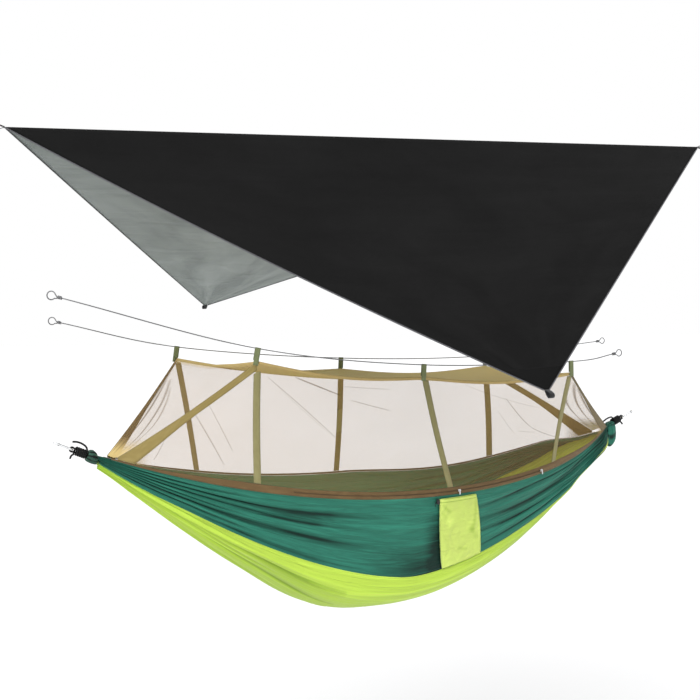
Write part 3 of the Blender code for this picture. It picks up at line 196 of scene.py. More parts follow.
# Zip, pocket and tarp
ZIP_ENDS = (-0.55, 0.596)
ZIP_COIL_RADIUS = 0.0016
ZIP_COIL_GAP = 0.0004
ZIP_TURNS = 520
ZIP_STEPS = 6
ZIP_THREAD_RADIUS = 0.00045
ZIP_WIND_RADIUS = 0.00115
POCKET_ENDS = (0.044, 0.217)
POCKET_SHARES = (0.03, 0.985)
POCKET_LEAN = 0.036
POCKET_GAP = 0.0007
POCKET_DEPTH = 0.016
POCKET_CUT = (0.37, 0.31)
POCKET_HEM = (0.040, 0.046)
POCKET_SPREAD = 0.125
POCKET_PIPING_RADIUS = 0.0016
POCKET_NORMAL_STEP = 0.01
DRAWCORD_RADIUS = 0.00125
DRAWCORD_DROP = 0.012
LOCK_RADIUS = 0.0070
LOCK_GAP = 0.0030
TARP_LEFT = Vector((-1.510, 0.0, 1.178))
TARP_RIGHT = Vector((1.739, 0.0, 1.301))
TARP_CORNERS = {-1: Vector((-0.105, -1.244, 0.286)), 1: Vector((-0.173, 1.470, 0.547))}
TARP_DROOPS = {-1: 0.022, 1: 0.004}
TARP_SAG = 0.030
TARP_TIP = 0.010
TARP_THICKNESS = 0.0010
TARP_RIDGE_GAP = 0.00045
TARP_PIPING_RADIUS = 0.0022
PATCH_DEPTH = 0.110
PATCH_LIFT = 0.0016
PATCH_THICKNESS = 0.0012
PATCH_MARGIN = 0.003
LOOP_REACH = 0.034
LOOP_HALF_HEIGHT = 0.008
LOOP_WIDTH = 0.018
LOOP_THICKNESS = 0.0016
LOOP_GAP = 0.0006
RIDGE_LOOP_GAP = 0.00015
SIDE_NAMES = {-1: "near", 1: "far"}
PLACE_NAMES = ("left", "middle", "right")


def tone(red, green, blue):
    """A linear colour from its 0 to 255 values on a screen."""
    def line(value):
        value /= 255
        return value / 12.92 if value <= 0.04045 else ((value + 0.055) / 1.055) ** 2.4
    return (line(red), line(green), line(blue), 1.0)


def mix(low, high, share):
    return low + (high - low) * share


def held(value):
    """The value, kept between 0 and 1."""
    return min(max(value, 0.0), 1.0)


def ease(low, high, value):
    """0 below low, 1 above high, and smooth between."""
    t = held((value - low) / (high - low))
    return t * t * (3 - 2 * t)


def uneven(*place):
    """A smooth random value from -1 to 1 at a place, always the same there."""
    return noise.noise(Vector(place))


def arc(start, sweep, steps):
    """Angles from start through the sweep, in equal steps."""
    return [start + sweep * step / steps for step in range(steps + 1)]


def turned_to(vector, towards):
    """The vector, or its opposite where it points away from the given direction."""
    return -vector if vector.dot(towards) < 0 else vector


def length_of(path):
    return sum((b - a).length for a, b in zip(path, path[1:]))


# Shader nodes

def put(tree, kind, inputs=None, **settings):
    """Add a shader node. inputs gives its sockets, by name or number, a value or another socket."""
    item = tree.nodes.new(kind)
    for key, value in settings.items():
        setattr(item, key, value)
    for key, value in (inputs or {}).items():
        if isinstance(value, bpy.types.NodeSocket):
            tree.links.new(value, item.inputs[key])
        else:
            item.inputs[key].default_value = value
    return item


def maths(tree, operation, *values):
    return put(tree, "ShaderNodeMath", dict(enumerate(values)), operation=operation).outputs[0]


def vectors(tree, operation, first, second):
    """Vector maths; second is a number where the operation is SCALE."""
    key = "Scale" if operation == "SCALE" else 1
    result = put(tree, "ShaderNodeVectorMath", {0: first, key: second}, operation=operation).outputs
    return result["Value"] if operation in ("DOT_PRODUCT", "DISTANCE") else result[0]


def clamped(tree, value):
    return put(tree, "ShaderNodeClamp", {0: value}).outputs[0]


def ranged(tree, value, low=0.0, high=1.0, to_low=0.0, to_high=1.0, **settings):
    """The value, with low to high stretched to to_low to to_high."""
    inputs = {"Value": value, "From Min": low, "From Max": high, "To Min": to_low, "To Max": to_high}
    return put(tree, "ShaderNodeMapRange", inputs, **settings).outputs[0]


def split(tree, vector):
    return put(tree, "ShaderNodeSeparateXYZ", {0: vector}).outputs


def blended_colour(tree, share, first, second):
    return put(tree, "ShaderNodeMix", {0: share, 6: first, 7: second}, data_type="RGBA").outputs[2]


def cut_place(tree):
    """The place on the UV map, in metres of the cut."""
    return put(tree, "ShaderNodeUVMap", uv_map="UVMap").outputs[0]


# The attribute fold: painted shade in the nylon's folds, doubled layers in the netting
def fold_depth(tree):
    return put(tree, "ShaderNodeAttribute", attribute_name="fold").outputs["Fac"]


def seen_directly(tree):
    """1 where a camera, glossy or transmitted ray meets the surface."""
    path = put(tree, "ShaderNodeLightPath").outputs
    either = maths(tree, "MAXIMUM", path["Is Camera Ray"], path["Is Glossy Ray"])
    return maths(tree, "MAXIMUM", either, path["Is Transmission Ray"])


# Camera and light

def set_camera():
    data = bpy.data.cameras.new("camera")
    data.lens = CAMERA_LENS
    data.sensor_width = CAMERA_SENSOR
    data.clip_end = CAMERA_REACH
    camera = bpy.data.objects.new("camera", data)
    camera.location = CAMERA_PLACE
    camera.rotation_euler = (pi / 2 - CAMERA_DIP, 0.0, CAMERA_TURN)
    bpy.context.scene.collection.objects.link(camera)
    bpy.context.scene.camera = camera


def set_studio():
    """White surroundings, a pale floor, a soft key from the upper left, a fill and a light from behind."""
    world = bpy.data.worlds.new("studio")
    world.use_nodes = True
    bpy.context.scene.world = world
    tree = world.node_tree
    tree.nodes.clear()
    plain = put(tree, "ShaderNodeBackground", {"Color": SURROUNDINGS_LIGHT})
    white = put(tree, "ShaderNodeBackground", {"Color": WHITE})
    shares = {0: seen_directly(tree), 1: plain.outputs[0], 2: white.outputs[0]}
    both = put(tree, "ShaderNodeMixShader", shares)
    put(tree, "ShaderNodeOutputWorld", {"Surface": both.outputs[0]})
    for name, strength, angle, turn in LIGHTS:
        data = bpy.data.lights.new(name, "SUN")
        data.energy = strength
        data.angle = radians(angle)
        lamp = bpy.data.objects.new(name, data)
        lamp.rotation_euler = [radians(value) for value in turn]
        bpy.context.scene.collection.objects.link(lamp)
    bm = bmesh.new()
    bmesh.ops.create_grid(bm, x_segments=1, y_segments=1, size=FLOOR_HALF_SIZE,
                          matrix=Matrix.Translation(FLOOR_PLACE))
    object_from(bm, "floor", floor_finish())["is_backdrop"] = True


def floor_finish():
    material, tree, shader = finish("pale floor", 1.0, Base_Color=(0.80, 0.80, 0.80, 1.0),
                                    Specular_IOR_Level=0.0)
    strength = maths(tree, "MULTIPLY", seen_directly(tree), FLOOR_GLOW)
    glow = put(tree, "ShaderNodeEmission", {"Color": WHITE, "Strength": strength})
    total = put(tree, "ShaderNodeAddShader", {0: shader.outputs[0], 1: glow.outputs[0]})
    tree.links.new(total.outputs[0], tree.nodes["Material Output"].inputs["Surface"])
    return material


# Pieces

def object_from(bm, name, *materials):
    mesh = bpy.data.meshes.new(name)
    bm.to_mesh(mesh)
    bm.free()
    return object_of(mesh, name, *materials)


def object_of(mesh, name, *materials):
    mesh.name = name
    mesh.materials.clear()
    for material in materials:
        mesh.materials.append(material)
    mesh.shade_smooth()
    item = bpy.data.objects.new(name, mesh)
    bpy.context.scene.collection.objects.link(item)
    return item


def plain_mesh(item):
    """The object's mesh with its modifiers or curve worked out."""
    return bpy.data.meshes.new_from_object(item.evaluated_get(bpy.context.evaluated_depsgraph_get()))


def applied(item):
    """The same object with its modifiers made into its mesh."""
    mesh = plain_mesh(item)
    item.modifiers.clear()
    item.data = mesh
    return item


def closed(item):
    """The same object with the two edges of a rolled sheet joined."""
    bm = bmesh.new()
    bm.from_mesh(item.data)
    bmesh.ops.remove_doubles(bm, verts=bm.verts, dist=1e-6)
    bmesh.ops.recalc_face_normals(bm, faces=bm.faces)
    bm.to_mesh(item.data)
    bm.free()
    return item


def cloth(name, surface, columns, rows, cut, outward, *materials, thickness=0.0, grow_out=False, depth=None):
    """A sheet over surface(p, q), with a UV map in metres of its cut.

    It faces outward at its middle. depth(p, q) is kept as the attribute fold: painted shade in the nylon
    finishes, doubled layers in the netting.
    """
    bm = bmesh.new()
    folds = bm.verts.layers.float.new("fold")
    bmesh.ops.create_grid(bm, x_segments=columns, y_segments=rows, size=0.5)
    uv = bm.loops.layers.uv.new("UVMap")
    for face in bm.faces:
        for loop in face.loops:
            loop[uv].uv = ((loop.vert.co.x + 0.5) * cut[0], (loop.vert.co.y + 0.5) * cut[1])
    for vertex in bm.verts:
        p, q = vertex.co.x + 0.5, vertex.co.y + 0.5
        vertex.co = ZERO + surface(p, q)
        vertex[folds] = depth(p, q) if depth else 0.0
    bm.normal_update()
    middle = ZERO + surface(0.5, 0.5)
    nearest = min(bm.faces, key=lambda face: (face.calc_center_median() - middle).length)
    if nearest.normal.dot(outward) < 0:
        bmesh.ops.reverse_faces(bm, faces=bm.faces)
    item = object_from(bm, name, *materials)
    if thickness:
        wall = item.modifiers.new("wall", "SOLIDIFY")
        wall.thickness = thickness
        wall.offset = 1.0 if grow_out else -1.0
        wall.use_even_offset = False
        wall.material_offset = len(materials) - 1
        wall.material_offset_rim = 0
    return item


def normal_at(surface, p, q, step, outward):
    along = surface(p + step, q) - surface(p - step, q)
    across = surface(p, q + step) - surface(p, q - step)
    return turned_to(along.cross(across).normalized(), outward)


def lifted(surface, height, outward):
    """The same surface, moved along its normal to the outward side; height may be a function."""
    def moved(p, q):
        lift = height(p, q) if callable(height) else height
        return surface(p, q) + normal_at(surface, p, q, 0.001, outward) * lift

    return moved


def ribbon(name, route, across, width, outward, material, thickness):
    """A tape whose middle line follows the route; it grows to both sides of it."""
    def surface(p, q):
        spot = held(p) * (len(route) - 1)
        first = min(int(spot), len(route) - 2)
        return mix(route[first], route[first + 1], spot - first) + across * width * (q - 0.5)

    item = cloth(name, surface, len(route) - 1, 4, (length_of(route), width), outward, material,
                 thickness=thickness)
    item.modifiers["wall"].offset = 0.0
    return item


def tube(name, points, radius, material, resolution=3, cyclic=False):
    """A round tube through points; its UV map has the turn in U and metres along it in V."""
    curve = bpy.data.curves.new(name, "CURVE")
    curve.dimensions = "3D"
    curve.bevel_depth = radius
    curve.bevel_resolution = resolution
    curve.use_fill_caps = True
    spline = curve.splines.new("POLY")
    spline.points.add(len(points) - 1)
    for target, point in zip(spline.points, points):
        target.co = (*(ZERO + point), 1.0)
    spline.use_cyclic_u = cyclic
    carrier = bpy.data.objects.new(name, curve)
    bpy.context.scene.collection.objects.link(carrier)
    mesh = plain_mesh(carrier)
    bpy.data.objects.remove(carrier, do_unlink=True)
    length = length_of(points)
    for place in mesh.uv_layers[0].data:
        place.uv.y *= length
    return object_of(mesh, name, material)


def smooth_path(knots, steps):
    """Points of one smooth curve through the knots, with this many steps in each span."""
    knots = [Vector(knot) for knot in knots]
    padded = [2 * knots[0] - knots[1], *knots, 2 * knots[-1] - knots[-2]]
    points = [knots[0]]
    for before, start, end, after in zip(padded, padded[1:], padded[2:], padded[3:]):
        for step in range(1, steps + 1):
            t = step / steps
            points.append(0.5 * (2 * start + (end - before) * t
                                 + (2 * before - 5 * start + 4 * end - after) * t * t
                                 + (3 * start - before - 3 * end + after) * t ** 3))
    return points


# Finishes

def group(name, inputs, outputs, fill):
    """A shader node group that only puts out values; fill(tree, inputs) returns its outputs."""
    tree = bpy.data.node_groups.new(name, "ShaderNodeTree")
    for label, value in inputs.items():
        kind = "NodeSocketVector" if isinstance(value, tuple) else "NodeSocketFloat"
        tree.interface.new_socket(label, in_out="INPUT", socket_type=kind).default_value = value
    for label in outputs:
        tree.interface.new_socket(label, in_out="OUTPUT", socket_type="NodeSocketFloat")
    start = tree.nodes.new("NodeGroupInput")
    end = tree.nodes.new("NodeGroupOutput")
    for label, socket in zip(outputs, fill(tree, start.outputs)):
        tree.links.new(socket, end.inputs[label])


def use(tree, name, **inputs):
    return put(tree, "ShaderNodeGroup", inputs, node_tree=bpy.data.node_groups[name]).outputs


def weave(tree, given):
    turns = maths(tree, "DIVIDE", tau / 2, given["Pitch"])
    parts = split(tree, vectors(tree, "SCALE", given["Place"], turns))
    return [maths(tree, "MULTIPLY", maths(tree, "SINE", parts[0]), maths(tree, "SINE", parts[1]))]


def wrinkles(tree, given):
    stretch = put(tree, "ShaderNodeCombineXYZ", {0: given["Along"], 1: given["Across"], 2: 1.0})
    place = vectors(tree, "MULTIPLY", given["Place"], stretch.outputs[0])
    drawn = put(tree, "ShaderNodeTexNoise", {"Vector": place, "Scale": 1.0, "Detail": 3.0,
                                             "Roughness": 0.55, "Distortion": 0.6}).outputs["Fac"]
    off_middle = maths(tree, "ABSOLUTE", maths(tree, "SUBTRACT", drawn, 0.5))
    crease = maths(tree, "SUBTRACT", 1.0, maths(tree, "MULTIPLY", off_middle, 6.0))
    return [drawn, maths(tree, "MAXIMUM", crease, 0.0)]


def stitches(tree, given):
    off_line = maths(tree, "ABSOLUTE", maths(tree, "SUBTRACT", given["Across"], given["Line"]))
    near = maths(tree, "LESS_THAN", off_line, given["Width"])
    beat = maths(tree, "FRACT", maths(tree, "DIVIDE", given["Along"], given["Pitch"]))
    return [maths(tree, "MULTIPLY", near, maths(tree, "LESS_THAN", beat, 0.72))]


def crease_line(tree, given):
    """A line from Begin to Finish, soft at its edges and fading at its ends."""
    reach = vectors(tree, "SUBTRACT", given["Finish"], given["Begin"])
    off = vectors(tree, "SUBTRACT", given["Place"], given["Begin"])
    along = vectors(tree, "DOT_PRODUCT", off, reach)
    share = clamped(tree, maths(tree, "DIVIDE", along, vectors(tree, "DOT_PRODUCT", reach, reach)))
    away = vectors(tree, "DISTANCE", off, vectors(tree, "SCALE", reach, share))
    near = ranged(tree, away, 0.0, given["Width"], 1.0, 0.0, interpolation_type="SMOOTHSTEP")
    left = maths(tree, "SUBTRACT", 1.0, share)
    fade = maths(tree, "MULTIPLY", maths(tree, "MULTIPLY", share, left), 4.0)
    return [maths(tree, "MULTIPLY", near, maths(tree, "POWER", fade, 0.3))]


def braid(tree, given):
    parts = split(tree, given["Place"])
    along = maths(tree, "DIVIDE", parts[1], given["Pitch"])
    around = maths(tree, "MULTIPLY", parts[0], given["Strands"])
    ways = [maths(tree, "SINE", maths(tree, "MULTIPLY", maths(tree, way, along, around), tau))
            for way in ("ADD", "SUBTRACT")]
    return [maths(tree, "MAXIMUM", *ways)]


def scuffs(tree, given):
    fine = put(tree, "ShaderNodeTexNoise", {"Vector": given["Place"], "Scale": given["Scale"],
                                            "Detail": 6.0, "Roughness": 0.7}).outputs["Fac"]
    return [ranged(tree, fine, 0.52, 0.70), fine]


def make_groups():
    """The patterns that several finishes share."""
    place = (0.0, 0.0, 0.0)
    group("weave", {"Place": place, "Pitch": 0.001}, ["Height"], weave)
    group("wrinkles", {"Place": place, "Along": 3.0, "Across": 20.0}, ["Height", "Crease"], wrinkles)
    group("stitches", {"Along": 0.0, "Across": 0.0, "Line": 0.003, "Width": 0.0006, "Pitch": 0.004},
          ["Mask"], stitches)
    group("crease", {"Place": place, "Begin": place, "Finish": (1.0, 0.0, 0.0), "Width": 0.004},
          ["Mask"], crease_line)
    group("braid", {"Place": place, "Pitch": 0.004, "Strands": 4.0}, ["Height"], braid)
    group("scuffs", {"Place": place, "Scale": 90.0}, ["Mask", "Grain"], scuffs)


def finish(name, roughness=0.6, **constants):
    """A new material, its tree and its shader, with constants on the shader's own sockets."""
    material = bpy.data.materials.new(name)
    material.use_nodes = True
    tree = material.node_tree
    shader = tree.nodes["Principled BSDF"]
    shader.inputs["Roughness"].default_value = roughness
    for key, value in constants.items():
        shader.inputs[key.replace("_", " ")].default_value = value
    return material, tree, shader


def linked(tree, shader, colour, rough=None, layers=()):
    """Give the shader its colour and roughness, and bumps as (height socket, distance)."""
    tree.links.new(colour, shader.inputs["Base Color"])
    if rough:
        tree.links.new(rough, shader.inputs["Roughness"])
    last = None
    for height, distance in layers:
        inputs = {"Height": height, "Distance": distance, "Strength": 1.0}
        if last:
            inputs["Normal"] = last
        last = put(tree, "ShaderNodeBump", inputs).outputs[0]
    if last:
        tree.links.new(last, shader.inputs["Normal"])


def crease_masks(tree, place, creases):
    """Each crease's mask and strength. A crease is (from, to, width, strength), in metres on the UV map."""
    for begin, end, width, strength in creases:
        line = use(tree, "crease", Place=place, Begin=(*begin, 0), Finish=(*end, 0), Width=width)
        yield line["Mask"], strength


def stitched_rows(tree, place, lines, **sizes):
    """A mask of stitches along each line, or nothing without lines."""
    parts = split(tree, place)
    sewn = None
    for line in lines:
        row = use(tree, "stitches", Along=parts[0], Across=parts[1], Line=line, **sizes)["Mask"]
        sewn = row if sewn is None else maths(tree, "MAXIMUM", sewn, row)
    return sewn


def nylon(name, lit, deep, along=1.4, across=26.0, seams=(), thread=None, fold_share=1.0, close=0.24,
          creases=()):
    """Thin plain-woven nylon: painted light on the ridges, painted shade in the folds, with rows of
    stitching.

    close says how strongly the painted shade of the short wrinkles between the folds shows.
    """
    roughness = 0.50
    material, tree, shader = finish(name, roughness, Specular_IOR_Level=0.22, Sheen_Weight=0.08,
                                    Sheen_Roughness=0.4)
    place = cut_place(tree)
    drawn = use(tree, "wrinkles", Place=place, Along=along, Across=across)
    fine = use(tree, "wrinkles", Place=place, Along=4.5, Across=52.0)
    threads = use(tree, "weave", Place=place, Pitch=0.0012)
    # Painted shade: the fold attribute, the wrinkles' creases and the crease lines darken the colour from lit
    # towards deep
    wrinkled = maths(tree, "MULTIPLY", drawn["Crease"], 0.16)
    shade = maths(tree, "MULTIPLY_ADD", fold_depth(tree), fold_share, wrinkled)
    shade = maths(tree, "MULTIPLY_ADD", fine["Crease"], close, shade)
    for mask, strength in crease_masks(tree, place, creases):
        shade = maths(tree, "MULTIPLY_ADD", mask, strength, shade)
    colour = blended_colour(tree, clamped(tree, shade), lit, deep)
    # Painted light and shade: lighter on the wrinkles' ridges, darker in their hollows
    painted_ridge_light = ranged(tree, drawn["Height"], 0.3, 0.7, 0.84, 1.16)
    colour = vectors(tree, "SCALE", colour, painted_ridge_light)
    layers = [(threads["Height"], 0.00012), (fine["Height"], 0.0050), (drawn["Height"], 0.014)]
    sewn = stitched_rows(tree, place, seams)
    if sewn:
        colour = blended_colour(tree, maths(tree, "MULTIPLY", sewn, 0.8), colour, thread or deep)
        layers.append((sewn, -0.0006))
    rough = ranged(tree, fine["Height"], 0.0, 1.0, roughness - 0.06, roughness + 0.10)
    linked(tree, shader, colour, rough, layers)
    return material


def netting(name, thread, doubled, cover, doubled_cover, creases):
    """Fine see-through mesh with thin creases, denser and dark with painted shade along them, and denser and
    of the doubled colour where fold says so.
    """
    material, tree, shader = finish(name, 0.85, Specular_IOR_Level=0.1)
    place = cut_place(tree)
    threads = use(tree, "weave", Place=place, Pitch=0.0018)
    cloud = use(tree, "wrinkles", Place=place, Along=2.2, Across=3.4)
    fold = fold_depth(tree)
    grid = ranged(tree, maths(tree, "ABSOLUTE", threads["Height"]), 0.0, 1.0, cover + 0.08, cover - 0.08)
    dense = maths(tree, "MULTIPLY_ADD", cloud["Height"], 0.10, grid)
    dense = maths(tree, "MULTIPLY_ADD", fold, doubled_cover, dense)
    masks = [maths(tree, "MULTIPLY", *pair) for pair in crease_masks(tree, place, creases)]
    drawn = masks[0]
    for mask in masks[1:]:
        drawn = maths(tree, "MAXIMUM", drawn, mask)
    dense = maths(tree, "ADD", dense, maths(tree, "MULTIPLY", drawn, 0.55))
    colour = blended_colour(tree, fold, thread, doubled)
    # Painted shade: the crease lines darken towards the crease shade tone
    colour = blended_colour(tree, clamped(tree, drawn), colour, tone(*NET_CREASE_SHADE_TONE))
    tree.links.new(clamped(tree, dense), shader.inputs["Alpha"])
    linked(tree, shader, colour)
    return material


def webbing(name, light, dark, width, pitch=0.0022, stitched=True, pleats=30.0):
    """Narrow woven tape with a ribbed face, painted shade along its creases and a row of stitching along each
    edge.
    """
    material, tree, shader = finish(name, 0.75, Specular_IOR_Level=0.25, Sheen_Weight=0.2)
    place = cut_place(tree)
    ribs = use(tree, "weave", Place=place, Pitch=pitch)
    tape_creases = use(tree, "wrinkles", Place=place, Along=300.0 / pleats, Across=pleats)
    woven = ranged(tree, ribs["Height"], -1.0, 1.0, 0.15, 0.75)
    # Painted shade: darker along the tape's creases
    share = maths(tree, "MULTIPLY_ADD", tape_creases["Crease"], 0.25, woven)
    colour = blended_colour(tree, clamped(tree, share), light, dark)
    layers = [(ribs["Height"], 0.0004), (tape_creases["Height"], 0.002)]
    if stitched:
        lines = (STITCH_MARGIN, width - STITCH_MARGIN)
        sewn = stitched_rows(tree, place, lines, Pitch=0.0035)
        colour = blended_colour(tree, maths(tree, "MULTIPLY", sewn, 0.55), colour, light)
        layers.append((sewn, -0.0005))
    linked(tree, shader, colour, None, layers)
    return material


def braided(name, light, dark, pitch):
    """Braided cord: painted light on the strand tops and painted shade in the gaps between them."""
    material, tree, shader = finish(name, 0.7, Specular_IOR_Level=0.3)
    height = use(tree, "braid", Place=cut_place(tree), Pitch=pitch, Strands=4.0)["Height"]
    # Painted light on the strand tops, painted shade in the gaps
    crown = ranged(tree, height, 0.1, 1.0)
    linked(tree, shader, blended_colour(tree, crown, dark, light), None, [(height, pitch * 0.12)])
    return material


def metal(name, colour, dull, roughness, scale=160.0):
    """Plated metal with handling scuffs."""
    material, tree, shader = finish(name, roughness, Metallic=1.0)
    place = put(tree, "ShaderNodeTexCoord").outputs["Object"]
    worn = use(tree, "scuffs", Place=place, Scale=scale)
    rough = ranged(tree, worn["Grain"], 0.0, 1.0, roughness * 0.7, roughness * 1.5)
    linked(tree, shader, blended_colour(tree, worn["Mask"], colour, dull), rough,
           [(worn["Grain"], 0.00008)])
    return material


def plastic(name, colour, dull, roughness):
    """Moulded plastic with a fine spark-eroded grain."""
    material, tree, shader = finish(name, roughness)
    place = put(tree, "ShaderNodeTexCoord").outputs["Object"]
    grain = use(tree, "scuffs", Place=place, Scale=900.0)
    linked(tree, shader, blended_colour(tree, grain["Mask"], colour, dull), None,
           [(grain["Grain"], 0.0001)])
    return material


def tarp_cloth(name, base, light, roughness, gloss, wrinkling):
    """Coated taffeta: cloudy coating, soft pulled wrinkles and a fine weave."""
    material, tree, shader = finish(name, roughness, Specular_IOR_Level=gloss)
    place = cut_place(tree)
    cloud = use(tree, "wrinkles", Place=place, Along=1.6, Across=2.6)
    pulled = use(tree, "wrinkles", Place=place, Along=1.0, Across=9.0)
    threads = use(tree, "weave", Place=place, Pitch=0.0012)
    share = ranged(tree, cloud["Height"], 0.34, 0.68)
    rough = ranged(tree, pulled["Height"], 0.0, 1.0, roughness - 0.08, roughness + 0.10)
    linked(tree, shader, blended_colour(tree, share, base, light), rough,
           [(threads["Height"], 0.00012), (pulled["Height"], wrinkling)])
    return material


# Creases of each netting, each (from, to, width, strength) in metres on its UV map: lines of painted shade,
# along which the net is also denser
NEAR_CREASES = (((0.62, 0.40), (0.82, 0.20), 0.002, 0.3), ((1.30, 0.44), (1.62, 0.30), 0.003, 0.3))
FAR_CREASES = (((0.88, 0.43), (1.14, 0.15), 0.003, 0.6), ((0.60, 0.24), (0.69, 0.03), 0.005, 0.6),
               ((0.66, 0.28), (0.73, 0.09), 0.004, 0.5), ((0.39, 0.16), (0.30, 0.04), 0.005, 0.6),
               ((1.83, 0.33), (1.97, 0.15), 0.005, 0.8), ((1.97, 0.15), (2.11, 0.02), 0.005, 0.8),
               ((1.19, 0.32), (1.34, 0.28), 0.004, 0.6), ((0.98, 0.43), (1.15, 0.34), 0.005, 1.0),
               ((1.16, 0.38), (1.34, 0.38), 0.004, 0.4), ((0.80, 0.43), (0.66, 0.30), 0.004, 0.7),
               ((1.90, 0.12), (2.00, 0.10), 0.004, 0.4), ((1.78, 0.24), (1.88, 0.10), 0.003, 0.4))
ROOF_CREASES = (((0.02, 0.62), (0.56, 0.688), 0.030, 1.0), ((0.02, 0.49), (0.50, 0.67), 0.022, 1.0),
                ((0.03, 0.24), (0.50, 0.63), 0.020, 0.9), ((0.05, 0.08), (0.46, 0.57), 0.014, 0.7),
                ((2.46, 0.60), (1.96, 0.045), 0.020, 0.9), ((2.47, 0.35), (1.98, 0.020), 0.022, 1.0),
                ((2.48, 0.15), (2.02, 0.010), 0.024, 1.0))

# Painted shade along the creases that the drawn mouth pulls in the pocket's front, and along the hem's lower
# edge, on its own cut

POCKET_CREASES = (
    ((0.012, 0.018), (0.034, 0.130), 0.014, 0.30), ((0.034, 0.120), (0.056, 0.185), 0.016, 0.34),
    ((0.058, 0.150), (0.026, 0.225), 0.018, 0.22), ((0.170, 0.022), (0.124, 0.066), 0.013, 0.32),
    ((0.176, 0.052), (0.140, 0.090), 0.012, 0.20), ((0.104, 0.236), (0.070, 0.256), 0.012, 0.28),
    ((-0.05, 0.0145), (0.235, 0.0145), 0.0025, 0.60))


